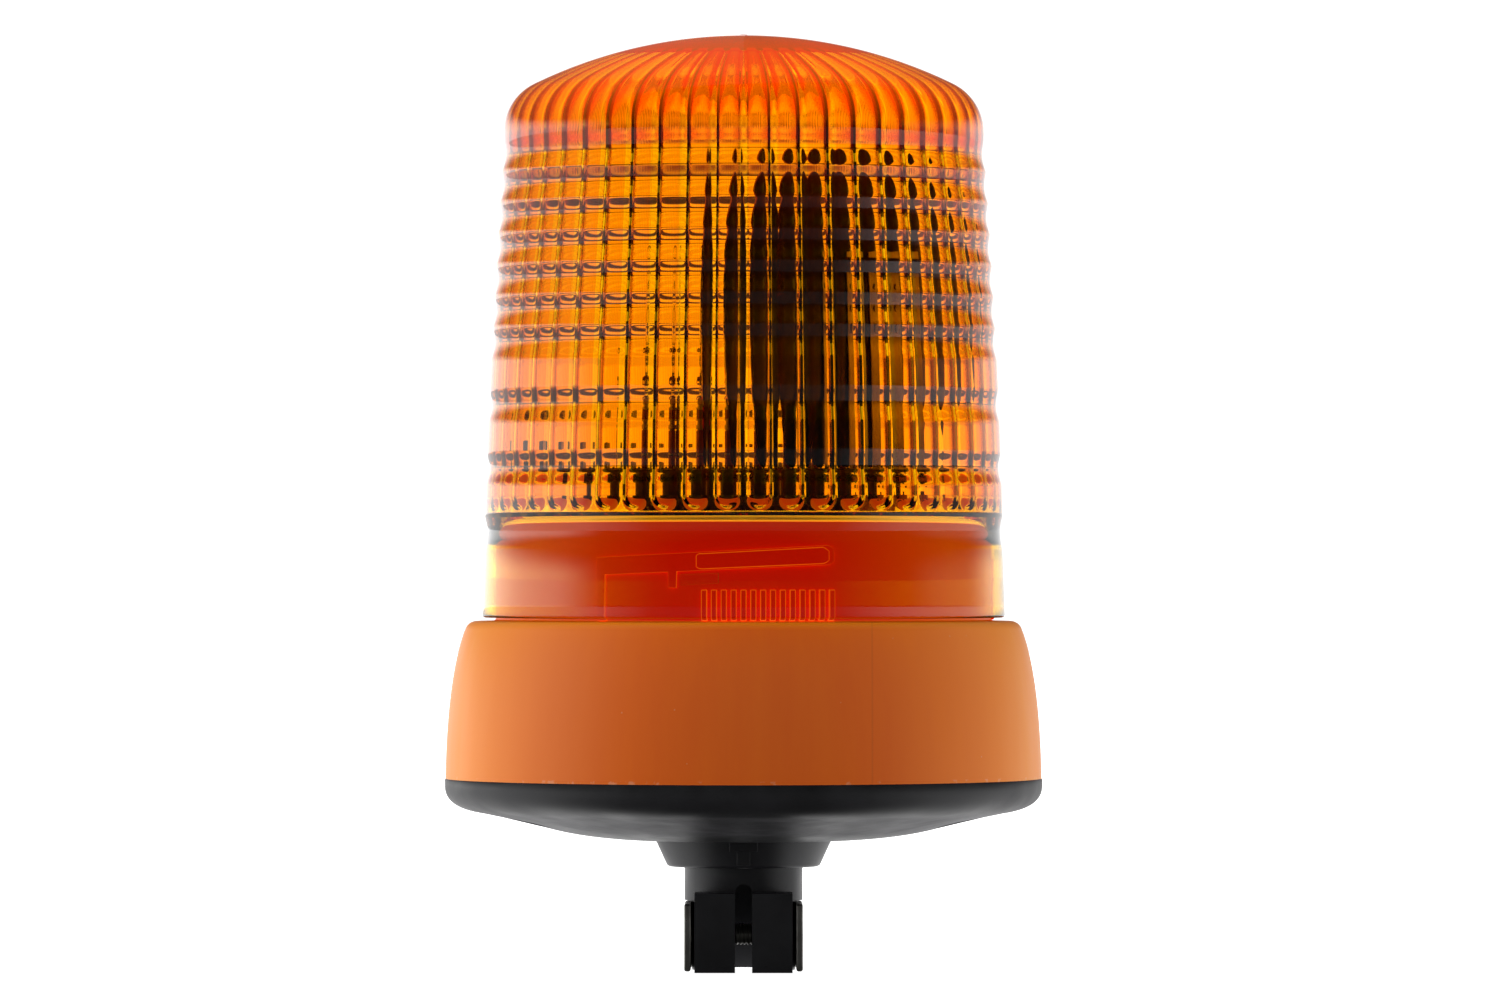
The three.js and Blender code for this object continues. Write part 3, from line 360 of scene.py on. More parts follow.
def orange_material():
    """Matt orange moulding with flow lines, a parting line, specks, a painted sheen where it is seen edge on
    and a thin broken pale line at its lower edge. Above the shoulder it is the neck, painted a deeper red
    for light filtered through the dome, with a painted orange sheen at its edges and a faint painted glow."""
    n = Nodes("orange_housing")
    x, y, z = n.object_mm()
    flow = n.noise(0.09, 5, (1, 1, 0.12))
    grain = n.noise(3.2, 3)
    facing = n.add("ShaderNodeLayerWeight", {"Blend": 0.5}).outputs["Facing"]
    plain = n.mix(n.ramp(flow, 0.3, 0.7), rgb(250, 112, 2), rgb(245, 104, 0))
    # painted sheen: the orange turns lighter where the surface is seen edge on, standing in for light from
    # the sides
    colour = n.mix(n.ramp(facing, 0.08, 0.7), plain, rgb(252, 146, 20))
    speck = n.add("ShaderNodeTexVoronoi", {"Vector": n.place(), "Scale": 0.11}).outputs["Distance"]
    colour = n.mix(n.ramp(speck, 0.02, 0.03, 0.35, 0.0), colour, rgb(250, 200, 150))
    off_line = n.math("ABSOLUTE", n.math("SUBTRACT", x, PARTING_X))
    on_front = n.math("LESS_THAN", y, 0.0)
    line = n.math("MULTIPLY", n.ramp(off_line, 0.1, 0.35, 1.0, 0.0), on_front)
    colour = n.mix(n.math("MULTIPLY", line, 0.15), colour, rgb(160, 72, 18))
    # paler in a thin broken line just above the seam
    pale_edge_band = n.math("MULTIPLY", n.ramp(z, SEAM_Z, SEAM_Z + 0.3, 1.0, 0.0), n.ramp(n.noise(0.3, 5), 0.58, 0.64))
    colour = n.mix(n.math("MULTIPLY", pale_edge_band, 0.3), colour, rgb(250, 205, 160))
    # painted light: filtered red at the middle of the neck, painted orange sheen towards its edges
    neck = n.mix(n.ramp(facing, 0.04, 0.45), NECK_FILTERED_RED, NECK_EDGE_SHEEN)
    on_neck = n.ramp(z, SHOULDER_TOP + 0.1, SHOULDER_TOP + 0.4)
    colour = n.mix(on_neck, colour, neck)
    n.set(base_color=colour, roughness=n.ramp(flow, 0.3, 0.7, 0.36, 0.46), specular_ior_level=0.3,
          emission_color=neck, emission_strength=n.math("MULTIPLY", on_neck, NECK_GLOW),
          normal=n.bump(n.math("ADD", n.math("MULTIPLY", grain, 0.3), flow), 0.06, 0.35))
    return n.material


def edge_highlight_material():
    """Painted highlights on the rims of the neck's raised shapes, with a faint painted glow."""
    n = Nodes("orange_edge_highlights")
    tone = n.mix(n.ramp(n.noise(0.15, 3), 0.35, 0.65), (1.0, 0.13, 0.01, 1.0), (1.0, 0.19, 0.015, 1.0))
    # painted highlight and glow on the rims
    n.set(base_color=tone, roughness=0.4, emission_color=tone, emission_strength=0.6)
    return n.material


def black_material(name, scuff_low=0.0, scuff_high=0.0, roughness=0.42):
    """Black moulding; between two heights it is dusty and scuffed."""
    n = Nodes(name)
    z = n.object_mm()[2]
    cloud = n.noise(0.07, 6)
    scratch = n.noise(0.35, 5, (0.25, 1.2, 1))
    colour = n.mix(n.ramp(cloud, 0.35, 0.7), rgb(30, 30, 33), rgb(42, 42, 46))
    rough = n.ramp(cloud, 0.3, 0.7, roughness - 0.05, roughness + 0.1)
    if scuff_high > scuff_low:
        inside = n.math("MULTIPLY", n.ramp(z, scuff_low, scuff_low + 0.8),
                        n.ramp(z, scuff_high - 0.8, scuff_high, 1.0, 0.0))
        dust = n.math("MULTIPLY", inside, n.ramp(scratch, 0.42, 0.75, 0.25, 1.0))
        colour = n.mix(n.math("MULTIPLY", dust, 0.7), colour, rgb(120, 118, 124))
        rough = n.math("ADD", rough, n.math("MULTIPLY", dust, 0.12))
    n.set(base_color=colour, roughness=rough, normal=n.bump(n.noise(2.4, 3), 0.04, 0.35))
    return n.material


def mirror_material():
    n = Nodes("mirror_chrome")
    wave = n.noise(0.08, 2)
    n.set(base_color=rgb(225, 227, 230), metallic=1.0, roughness=n.ramp(wave, 0.3, 0.7, 0.03, 0.07),
          normal=n.bump(wave, 0.05, 0.4))
    return n.material


def quartz_material():
    n = Nodes("bulb_quartz")
    n.set(base_color=(0.97, 0.98, 1.0, 1.0), roughness=n.ramp(n.noise(0.2), 0.3, 0.7, 0.0, 0.02),
          transmission_weight=1.0, ior=1.46)
    return n.material


def silicone_material():
    """Slightly cloudy silicone, half see-through, with a warm painted glow where it is seen edge on."""
    n = Nodes("silicone_clear")
    cloud = n.noise(0.3)
    facing = n.add("ShaderNodeLayerWeight", {"Blend": 0.5}).outputs["Facing"]
    # painted glow: warm light added where the seal is seen edge on
    n.set(base_color=(0.97, 0.96, 0.9, 1.0), roughness=n.ramp(cloud, 0.3, 0.7, 0.1, 0.2), ior=1.41,
          transmission_weight=0.5, emission_color=(1.0, 0.72, 0.3, 1.0),
          emission_strength=n.ramp(facing, 0.03, 0.3, 0.0, 0.4))
    return n.material


AMBER = amber_material()
ORANGE = orange_material()
EDGE_HIGHLIGHTS = edge_highlight_material()
BLACK_PAN = black_material("black_pan", 37.0, 43.4)
BLACK_SOCKET = black_material("black_socket", roughness=0.36)
BLACK_INNER = coloured("black_inner", rgb(62, 52, 50), rgb(48, 42, 42), 0.42, 0.2)
MIRROR = mirror_material()
QUARTZ = quartz_material()
RUBBER = coloured("rubber_black", rgb(22, 22, 23), rgb(32, 31, 31), 0.75, 0.3)
SILICONE = silicone_material()
ZINC = coloured("zinc_steel", rgb(176, 176, 170), rgb(160, 159, 152), 0.32, 0.25, 0.03, metal=1.0)
BRASS = coloured("brass_turned", rgb(198, 160, 88), rgb(170, 128, 62), 0.28, 0.3, 0.02, metal=1.0)
BRONZE = coloured("bronze_bush", rgb(150, 104, 62), rgb(120, 80, 46), 0.4, 0.4, 0.03, metal=1.0)
NYLON = coloured("nylon_cream", rgb(226, 220, 200), rgb(212, 204, 182), 0.48, 0.2)
BOARD = coloured("board_green", rgb(38, 92, 52), rgb(28, 74, 42), 0.35, 0.4, coat=0.3)
RED = coloured("red_insulation", rgb(170, 36, 28), rgb(146, 26, 22), 0.42, 0.3)
TUNGSTEN = coloured("tungsten_wire", rgb(150, 148, 146), rgb(110, 108, 106), 0.35, 1.0, 0.01, metal=1.0)


def finish_with(obj, material):
    obj.data.materials.clear()
    obj.data.materials.append(material)
    return obj


# ---------- the lens ----------
def cusp_radius(z):
    """Radius of the ring cusps: a shallow barrel that narrows upwards."""
    down = SHOULDER_Z - z
    return SHOULDER_R - 0.2 + 0.0737 * down - 0.000221 * down * down


def lens_outer_profile():
    """The outside of the lens from the skirt's lower edge up to the apex."""
    apex = LENS_HIGH.z
    low = LENS_LOW.z
    points = arc(70.15, low + 0.8, 0.8, -90, 0, 5)
    points += [(70.85, 100.0), (70.6, 107.0), (70.35, 113.9), (70.2, 114.5)]
    points += curve_through((70.1, 115.2), (69.2, 119.3), (70.38, RING_LOW), 10)[1:-1]
    pitch = (RING_HIGH - RING_LOW) / RING_COUNT
    steps = 9
    for i in range(RING_COUNT):
        deep = 0.0 if i in FLAT_BANDS else RING_DEPTH
        for k in range(steps):
            t = k / steps
            z = RING_LOW + pitch * (i + t)
            points.append((cusp_radius(z) - deep * math.sin(math.pi * t) ** RING_POWER, z))
    points.append((cusp_radius(RING_HIGH), RING_HIGH))
    fillet_r = SHOULDER_R - SHOULDER_FILLET
    points += arc(fillet_r, SHOULDER_Z, SHOULDER_FILLET, 0, 63, 12)
    centre = apex - CROWN_R
    tangent = math.degrees(math.acos(57.6 / CROWN_R))
    points += arc(0, centre, CROWN_R, tangent, 89.3, 16)[1:]
    points += [(1.2, apex), (1.0, apex + 0.3), (0, apex + 0.35)]
    return points


def lens_inner_path():
    """The inside of the lens from the apex down to the flutes' lower ends: (r, z, nr, nz) rows,
    where (nr, nz) points out through the wall."""
    centre = LENS_HIGH.z - CROWN_R
    crown = CROWN_R - WALL + 0.6
    rows = []
    top_angle = math.degrees(math.acos(FLUTE_TOP_R / crown))
    angles = [89.9, 86, 82, 78, top_angle + 1.2] + [top_angle - 0.2 * k for k in range(6)]
    angles += [top_angle - 1.6, 71, 68, 66]
    for a in angles:
        c, s = math.cos(math.radians(a)), math.sin(math.radians(a))
        rows.append((crown * c, centre + crown * s, c, s))
    fillet = SHOULDER_FILLET - WALL
    for a in (60, 54, 48, 42, 36, 30, 24, 18, 12, 6, 0):
        c, s = math.cos(math.radians(a)), math.sin(math.radians(a))
        rows.append((SHOULDER_R - SHOULDER_FILLET + fillet * c, SHOULDER_Z + fillet * s, c, s))
    for z in (215, 200, 180, 160, 145, 135, 130, 128.4, 127.8, 127.2, 126.6, 126.0, 125.5, 125.1,
              124.8, 124.5, 124.3, 124.1, 123.9):
        rows.append((cusp_radius(z) - WALL, z, 1.0, 0.0))
    return rows


def flute_depth(u, r, z):
    """Depth of the flutes at a share u of the pitch from a flute's middle: a hollow arc that runs
    into a rounded ridge. They end in round bottoms at the foot of the wall and in the crown."""
    pitch = TAU * r / FLUTE_COUNT
    top_pitch = TAU * FLUTE_TOP_R / FLUTE_COUNT
    below = max(0.0, FLUTE_LOW + pitch / 2 - z)
    above = max(0.0, FLUTE_TOP_R + top_pitch / 2 - r) if z > SHOULDER_Z else 0.0
    x = math.hypot(u * pitch, below + above)
    if x >= pitch / 2:
        return 0.0
    hollow = FLUTE_SHARE * pitch / math.sin(FLUTE_EDGE)
    ridge = (0.5 - FLUTE_SHARE) * pitch / math.sin(FLUTE_EDGE)
    if x > FLUTE_SHARE * pitch:
        return ridge - math.sqrt(ridge ** 2 - (pitch / 2 - x) ** 2)
    return (hollow + ridge) * (1 - math.cos(FLUTE_EDGE)) - hollow + math.sqrt(hollow ** 2 - x ** 2)


FLUTE_DEEPEST = flute_depth(0.0, cusp_radius(180) - WALL, 180)


def lens_dome():
    """The amber lens: ringed outside and fluted inside, closed at the skirt's lower edge."""
    outer = lens_outer_profile()
    columns = FLUTE_COUNT * len(FLUTE_COLUMNS)
    points, faces, rows = [], [], []
    for r, z in outer[:-1]:
        rows.append(range(len(points), len(points) + OUTER_COLUMNS))
        points += [(r * math.cos(TAU * i / OUTER_COLUMNS), r * math.sin(TAU * i / OUTER_COLUMNS), z)
                   for i in range(OUTER_COLUMNS)]
    for a, b in zip(rows, rows[1:]):
        faces += [(a[i], a[(i + 1) % OUTER_COLUMNS], b[(i + 1) % OUTER_COLUMNS], b[i])
                  for i in range(OUTER_COLUMNS)]
    tip = len(points)
    points.append((0, 0, outer[-1][1]))
    faces += [(rows[-1][i], rows[-1][(i + 1) % OUTER_COLUMNS], tip) for i in range(OUTER_COLUMNS)]

    angles = [TAU * (k + u) / FLUTE_COUNT for k in range(FLUTE_COUNT) for u in FLUTE_COLUMNS]
    shares = [u for _ in range(FLUTE_COUNT) for u in FLUTE_COLUMNS]
    inner, hollows = [], {}
    for r, z, nr, nz in lens_inner_path():
        inner.append(range(len(points), len(points) + columns))
        for angle, u in zip(angles, shares):
            deep = flute_depth(u, r, z)
            radius = r + nr * deep
            points.append((radius * math.cos(angle), radius * math.sin(angle), z + nz * deep))
            hollows[len(points) - 1] = deep / FLUTE_DEEPEST
    for r, z in ((66.8, 123.7), (67.4, 123.0), (67.4, 118.0), (67.8, 116.4), (SKIRT_INNER, 114.6),
                 (SKIRT_INNER, 105.0), (SKIRT_INNER, LENS_LOW.z + 0.3), (SKIRT_INNER + 0.3, LENS_LOW.z)):
        inner.append(range(len(points), len(points) + columns))
        points += [(r * math.cos(a), r * math.sin(a), z) for a in angles]
    for a, b in zip(inner, inner[1:]):
        faces += [(a[i], a[(i + 1) % columns], b[(i + 1) % columns], b[i]) for i in range(columns)]
    top = len(points)
    points.append((0, 0, lens_inner_path()[0][1]))
    faces += [(inner[0][i], inner[0][(i + 1) % columns], top) for i in range(columns)]
    faces += stitch(points, list(inner[-1]), list(rows[0]))
    mesh = mesh_from("amber_dome", points, faces)
    hollow = mesh.attributes.new("hollow", "FLOAT", "POINT")
    for index, share in hollows.items():
        hollow.data[index].value = share
    shade(mesh, 28)
    lens = new_object("amber_dome", mesh, "lens")
    finish_with(lens, AMBER)
    return lens


def stitch(points, ring_a, ring_b):
    """Triangles that close the gap between two rings with different numbers of points."""
    def turn(index):
        return math.atan2(points[index][1], points[index][0]) % TAU
    a = sorted(ring_a, key=turn)
    b = sorted(ring_b, key=turn)
    faces, i, j = [], 0, 0
    while i < len(a) or j < len(b):
        next_a = turn(a[i + 1]) if i + 1 < len(a) else TAU + turn(a[0]) if i < len(a) else 9e9
        next_b = turn(b[j + 1]) if j + 1 < len(b) else TAU + turn(b[0]) if j < len(b) else 9e9
        if next_a <= next_b:
            faces.append((a[i % len(a)], a[(i + 1) % len(a)], b[j % len(b)]))
            i += 1
        else:
            faces.append((a[i % len(a)], b[(j + 1) % len(b)], b[j % len(b)]))
            j += 1
    return faces


# ---------- curved plates on the neck and inside the skirt ----------
def bent_data(stations, inner, outer, turn):
    """Points and faces of a plate bent round the axis. Stations are (x, low, high) as seen from the
    front; turn is the angle in degrees by which the plate is moved round."""
    points, faces = [], []
    for x, low, high in stations:
        angle = math.asin(x / inner) - math.pi / 2 + math.radians(turn)
        c, s = math.cos(angle), math.sin(angle)
        points += [(inner * c, inner * s, low), (inner * c, inner * s, high),
                   (outer * c, outer * s, high), (outer * c, outer * s, low)]
    for i in range(len(stations) - 1):
        a, b = 4 * i, 4 * (i + 1)
        faces += [(a + k, a + (k + 1) % 4, b + (k + 1) % 4, b + k) for k in range(4)]
    last = 4 * (len(stations) - 1)
    faces += [(3, 2, 1, 0), (last, last + 1, last + 2, last + 3)]
    return points, faces


def bent_plates(name, plates, inner, outer, turn, body):
    """One object with a bent plate for each list of stations, and rounded edges."""
    points, faces = [], []
    for stations in plates:
        more_points, more_faces = bent_data(stations, inner, outer, turn)
        faces += [tuple(len(points) + i for i in face) for face in more_faces]
        points += more_points
    mesh = mesh_from(name, points, faces)
    shade(mesh, 30)
    plate = new_object(name, mesh, body)
    bevel = plate.modifiers.new("edges", "BEVEL")
    bevel.width, bevel.segments = 0.22 * MM, 2
    bevel.limit_method, bevel.angle_limit = "ANGLE", math.radians(40)
    return plate


def neck_finish(plate):
    """Orange faces with painted highlights on the rims."""
    finish_with(plate, ORANGE)
    plate.data.materials.append(EDGE_HIGHLIGHTS)
    # the bevel faces carry the painted rim highlights
    plate.modifiers["edges"].material = 1


def between(x, x0, x1, a, b):
    return a + (b - a) * (x - x0) / (x1 - x0)


def steps_of(x0, x1, count):
    return [x0 + (x1 - x0) * i / count for i in range(count + 1)]


NECK_FACE = 67.3
PROUD = 68.0
RAMP_LEFT, RAMP_RIGHT = -37.8, 23.3
RIB_LEFT, RIB_RIGHT, RIB_TOP, RIB_COUNT = -10.9, 24.6, 103.2, 14


def ramp_top(x):
    return between(x, RAMP_LEFT, 21.0, 111.7, 114.8)


def ramp_under(x):
    return between(x, -17.3, RAMP_RIGHT, 108.0, 109.8)


def neck_station(number, turn):
    """One bayonet ramp with its leg and hook, and the ribbed pad below it."""
    foot, sill = 95.0, 0.12
    stations = [(x, foot, ramp_top(x)) for x in (RAMP_LEFT, RAMP_LEFT + 2)]
    stations += [(x, ramp_under(x), ramp_top(x)) for x in steps_of(RAMP_LEFT + 2 + sill, -19.3 - sill, 8)]
    stations += [(x, 103.7, ramp_top(x)) for x in (-19.3, -17.3)]
    stations += [(x, ramp_under(x), ramp_top(x)) for x in steps_of(-17.3 + sill, 21.6, 16)]
    stations += [(22.6, 110.1, 114.5), (RAMP_RIGHT, 110.8, 113.8)]
    ramp = bent_plates(f"neck_ramp_{number}", [stations], NECK_FACE - 0.6, PROUD, turn, "base")
    neck_finish(ramp)
    bar = [(-12.4, 109.2, 112.2), (-11.6, 108.7, 112.8)]
    bar += [(x, ramp_under(x) + 0.3, ramp_top(x) - 0.35) for x in steps_of(-10.8, 20.8, 14)]
    bar += [(21.6, 110.3, 114.0), (22.4, 110.9, 113.4)]
    raised = bent_plates(f"neck_bar_{number}", [bar], PROUD - 0.3, PROUD + 0.22, turn, "base")
    neck_finish(raised)
    pitch = (RIB_RIGHT - RIB_LEFT) / RIB_COUNT
    starts = [RIB_LEFT + pitch * i for i in range(RIB_COUNT)]
    ribs = [[(x + pitch * t, foot, RIB_TOP) for t in (0.0, 0.3, 0.6)] for x in starts]
    pad = bent_plates(f"neck_ribs_{number}", ribs, NECK_FACE - 0.6, PROUD, turn, "base")
    neck_finish(pad)


def lens_lug(number, turn):
    """A bayonet lug inside the skirt, lying below the ramp."""
    stations = [(x, 104.4 + 0.0443 * (x + 16.4), 107.2 + 0.0443 * (x + 16.4))
                for x in steps_of(-16.4, -6.4, 5)]
    lug = bent_plates(f"lens_lug_{number}", [stations], 67.8, SKIRT_INNER + 0.4, turn, "lens")
    finish_with(lug, AMBER)


# ---------- housing, pan, collar and gasket ----------
def housing():
    """The orange drum, its flat shoulder and the neck, as one smooth shell."""
    top, bottom = SHOULDER_TOP, HOUSING_LOW.z
    outer = [(80.9, bottom)] + curve_through((80.9, bottom + 0.5), (80.6, 78.0), (75.9, 91.4), 18)
    outer += arc(72.4, top - 3.3, 3.3, 14, 90, 10)
    outer += [(67.9, top), (NECK_FACE, top + 0.4), (NECK_FACE, 115.7), (67.0, 117.0), (66.2, 121.2),
              (65.9, 121.6)]
    inner = [(64.4, 121.6), (64.2, 121.2), (64.5, 118.2), (56.0, 118.2), (56.0, 114.8), (64.5, 108.8),
             (64.5, 91.8), (71.4, 91.8), (73.3, 90.2), (75.6, 80.0), (77.2, 70.0), (78.0, bottom)]
    shell = lathe("housing_shell", outer + inner, 256, "base", 35)
    finish_with(shell, ORANGE)
    for i in range(PAN_SCREWS):
        housing_post(i)
    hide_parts("housing")


PAN_SCREWS = 4
SCREW_BORE = 2.3


def screw_place(i):
    """Centre of a pan screw, seen from above."""
    low, high = extent(f"pan_screw_{i + 1}")
    return (low.x + high.x) / 2, (low.y + high.y) / 2


def housing_post(i):
    """A screw post inside the drum."""
    x, y = screw_place(i)
    post = built(f"housing_post_{i + 1}", "base", rod(5, (x, y, 49.3), (x, y, 92.2), 32),
                 [("DIFFERENCE", rod(SCREW_BORE, (x, y, 48), (x, y, 68), 24))])
    finish_with(post, ORANGE)


def base_pan():
    """The dished black pan with its four sunk screw seats."""
    rim = PAN_HIGH.z
    outer = [(16.3, 35.1), (COLLAR_HIGH.x, 35.1)]
    outer += curve_through((30.0, 35.25), (44.0, 35.9), (53.6, 38.6), 12)
    outer += [(60.0, 40.15), (66.0, 41.55), (70.6, 42.5)]
    outer += curve_through((71.2, 42.62), (80.9, 44.0), (81.05, 49.6), 16)
    outer += [(81.1, rim - 0.5), (80.8, rim)]
    inner = [(78.3, rim), (78.3, 49.2), (75.4, 46.4), (70.4, 45.5), (53.0, 41.8), (44.0, 40.1),
             (16.3, 40.1)]
    shell = bpy.data.objects.new("tool", mesh_from("pan", *lathe_data(outer + inner, 192)))
    places = [screw_place(i) for i in range(PAN_SCREWS)]
    steps = [("UNION", rod(8.2, (x, y, 42.6), (x, y, 49.0), 48)) for x, y in places]
    for x, y in places:
        steps.append(("DIFFERENCE", rod(5.7, (x, y, 30), (x, y, 46.2), 48)))
        steps.append(("DIFFERENCE", rod(SCREW_BORE, (x, y, 44), (x, y, 51), 24)))
    pan = built("pan_shell", "base", shell, steps, 0.35, 35)
    finish_with(pan, BLACK_PAN)
    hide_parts("base_pan")


def collar():
    """The tapered collar and its T-shaped key at the front."""
    profile = [(16.3, 28.0)] + arc(19.75, 29.3, 1.3, -90, -20, 6) + [(23.85, 35.1), (16.3, 35.1)]
    ring = lathe("collar_ring", profile, 128, "base", 35)
    finish_with(ring, BLACK_SOCKET)
    key = built("collar_key", "base", box(-3.8, 3.8, -24.6, -20.0, 32.7, 35.1),
                [("UNION", box(-1.8, 1.8, -22.6, -18.5, 28.9, 33.0))], 0.5, 35)
    finish_with(key, BLACK_SOCKET)
    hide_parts("collar")


def seam_gasket():
    """The thin rubber ring squeezed between the drum and the pan."""
    profile = [(76.6, 51.95), (80.3, 51.95), (80.5, 52.3), (80.3, 52.65), (76.6, 52.65)]
    gasket = lathe("gasket_ring", profile, 192, "base")
    finish_with(gasket, RUBBER)
    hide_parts("seam_gasket")


def lens_seal():
    """The pale ring on top of the neck, which rises with the lens."""
    profile = [(63.7, 121.75)] + arc(65.2, 122.55, 0.8, -90, 90, 8) + arc(64.5, 123.3, 0.75, 90, 180, 6)
    seal = lathe("seal_ring", profile, 192, "lens_carrier")
    finish_with(seal, SILICONE)
    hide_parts("lens_seal")


# ---------- pole socket and clamp ----------
CLAMP_Y, CLAMP_Z = -17.4, 10.3
CLAMP_OUT = 18  # past both lugs, for cutting tools
BOLT_HOLE, HEAD_HOLE = 3.3, 5.0
TUBE_R, TUBE_BORE, TOP_BORE, STOP_Z = 16, 12.6, 8, 38
LUG_X, LUG_TOP, SLOT_X, NUT_HALF = 13.2, 21.3, 2.3, 4.8


def across_clamp(r, x0, x1):
    """A rod along the clamp screw's axis."""
    return rod(r, (x0, CLAMP_Y, CLAMP_Z), (x1, CLAMP_Y, CLAMP_Z), 48)


def pole_socket():
    """Split tube, two clamp lugs and the flange inside the pan."""
    lug_front = STRAP_LOW.y
    steps = [
        ("UNION", tube_rod(28, 40.1, 43.1)),
        ("UNION", tube_rod(12, 40.1, 52.0)),
        ("DIFFERENCE", seat_band()),
        ("UNION", box(-LUG_X, LUG_X, lug_front, -8, 0.0, LUG_TOP)),
        ("DIFFERENCE", tube_rod(TUBE_BORE, -2, STOP_Z)),
        ("DIFFERENCE", tube_rod(TOP_BORE, 10, 54)),
        ("DIFFERENCE", box(-SLOT_X, SLOT_X, -30, 0, -2, LUG_TOP)),
        ("DIFFERENCE", rod(SLOT_X, (0, -30, LUG_TOP), (0, 0, LUG_TOP), 32)),
        ("DIFFERENCE", across_clamp(BOLT_HOLE, -CLAMP_OUT, CLAMP_OUT)),
        ("DIFFERENCE", across_clamp(HEAD_HOLE, 7.5, CLAMP_OUT)),
        ("DIFFERENCE", box(-CLAMP_OUT, -8.8, CLAMP_Y - NUT_HALF, CLAMP_Y + NUT_HALF,
                           CLAMP_Z - NUT_HALF, CLAMP_Z + NUT_HALF)),
    ]
    socket = built("socket_body", "base", tube_rod(TUBE_R, 0, 41), steps, 0.55, 35)
    finish_with(socket, BLACK_SOCKET)
    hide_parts("pole_socket")


def seat_band():
    """The ring of space that the strap lies in."""
    profile = [(14.0, -2), (18.5, -2), (18.5, 18.9), (14.0, 18.9)]
    return bpy.data.objects.new("tool", mesh_from("band", *lathe_data(profile, 96)))


def clamp_strap():
    """The U-shaped steel strap, with a leg outside each lug."""
    z0, z1, front = STRAP_LOW.z, STRAP_HIGH.z, STRAP_LOW.y
    outer, inner = 16.0, 14.2
    outline = arc(0, 0, outer, 0, 180, 36) + [(-outer, front), (-inner, front)]
    outline += arc(0, 0, inner, 180, 0, 36) + [(inner, front), (outer, front)]
    count = len(outline)
    points = [(x, y, z0) for x, y in outline] + [(x, y, z1) for x, y in outline]
    faces = [(i, (i + 1) % count, (i + 1) % count + count, i + count) for i in range(count)]
    faces += [tuple(range(count)), tuple(range(count, 2 * count))]
    first = bpy.data.objects.new("tool", mesh_from("strap", points, faces))
    steps = [
        ("DIFFERENCE", across_clamp(HEAD_HOLE, inner - 1, CLAMP_OUT)),
        ("DIFFERENCE", across_clamp(BOLT_HOLE, -CLAMP_OUT, 1 - inner)),
    ]
    strap = built("strap_band", "base", first, steps, 0.6, 35)
    finish_with(strap, ZINC)
    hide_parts("clamp_strap")


def threaded_bolt():
    """The clamp screw: cylinder head with a hexagon socket and a real helical thread."""
    pitch, root, crest = 1.0, 2.45, 3.0
    x_end, x_head = BOLT_LOW.x, 8.6
    columns, per_turn = 36, 8
    count = int((x_head - x_end) / pitch * per_turn)
    points, faces = [], []
    for row in range(count + 1):
        x = x_end + (x_head - x_end) * row / count
        for i in range(columns):
            phase = (x / pitch - i / columns) % 1.0
            r = root + (crest - root) * (1 - abs(2 * phase - 1))
            if row < per_turn:
                r = min(r, root - 0.2 + 0.9 * row / per_turn)
            a = TAU * i / columns
            points.append((x, CLAMP_Y + r * math.cos(a), CLAMP_Z + r * math.sin(a)))
    for row in range(count):
        for i in range(columns):
            a, b = row * columns + i, row * columns + (i + 1) % columns
            faces.append((a, b, b + columns, a + columns))
    faces.append(tuple(range(columns)))
    faces.append(tuple(count * columns + i for i in range(columns)))
    shank_mesh = mesh_from("bolt_shank", points, faces)
    shade(shank_mesh, 50)
    shank = new_object("bolt_shank", shank_mesh, "clamp_screw")
    finish_with(shank, ZINC)
    head = built("bolt_head", "clamp_screw",
                 rod(4.5, (x_head - 0.05, CLAMP_Y, CLAMP_Z), (13.0, CLAMP_Y, CLAMP_Z), 64),
                 [("DIFFERENCE", rod(2.6, (10.6, CLAMP_Y, CLAMP_Z), (15, CLAMP_Y, CLAMP_Z), 6))], 0.35, 35)
    finish_with(head, ZINC)
    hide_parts("clamp_bolt")


SPRING_WIRE, SPRING_TURNS, SPRING_END, SPRING_TRAVEL = 0.45, 4, 38.0, 3.0


def contact_spring():
    """The coil behind the contact pin."""
    low, high = extent("contact_spring")
    radius = high.x - SPRING_WIRE
    z0, z1 = low.z + SPRING_WIRE, high.z - SPRING_WIRE
    count, sides = SPRING_TURNS * 32, 10
    points, faces = [], []
    for row in range(count + 1):
        a = TAU * SPRING_TURNS * row / count
        for i in range(sides):
            b = TAU * i / sides
            r = radius + SPRING_WIRE * math.cos(b)
            z = z0 + (z1 - z0) * row / count + SPRING_WIRE * math.sin(b)
            points.append((r * math.cos(a), r * math.sin(a), z))
    for row in range(count):
        for i in range(sides):
            a, b = row * sides + i, row * sides + (i + 1) % sides
            faces.append((a, b, b + sides, a + sides))
    faces += [tuple(range(sides)), tuple(count * sides + i for i in range(sides))]
    mesh = mesh_from("contact_coil", points, faces)
    shade(mesh, 60)
    coil = new_object("contact_coil", mesh, "base")
    finish_with(coil, ZINC)
    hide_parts("contact_spring")
    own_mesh(coil)


# ---------- rotor ----------
WEIGHT_LOW, WEIGHT_HIGH = extent("counterweight")
ROTOR_TURN = math.atan2(WEIGHT_LOW.y + WEIGHT_HIGH.y, WEIGHT_LOW.x + WEIGHT_HIGH.x)
FOCUS_Z, FOCAL, MIRROR_RIM = 178.0, 30.0, 43.0


def facing(obj):
    """Turns a piece built facing +X to the mirror's rest angle."""
    obj.data.transform(Matrix.Rotation(ROTOR_TURN, 4, "Z"))
    return obj


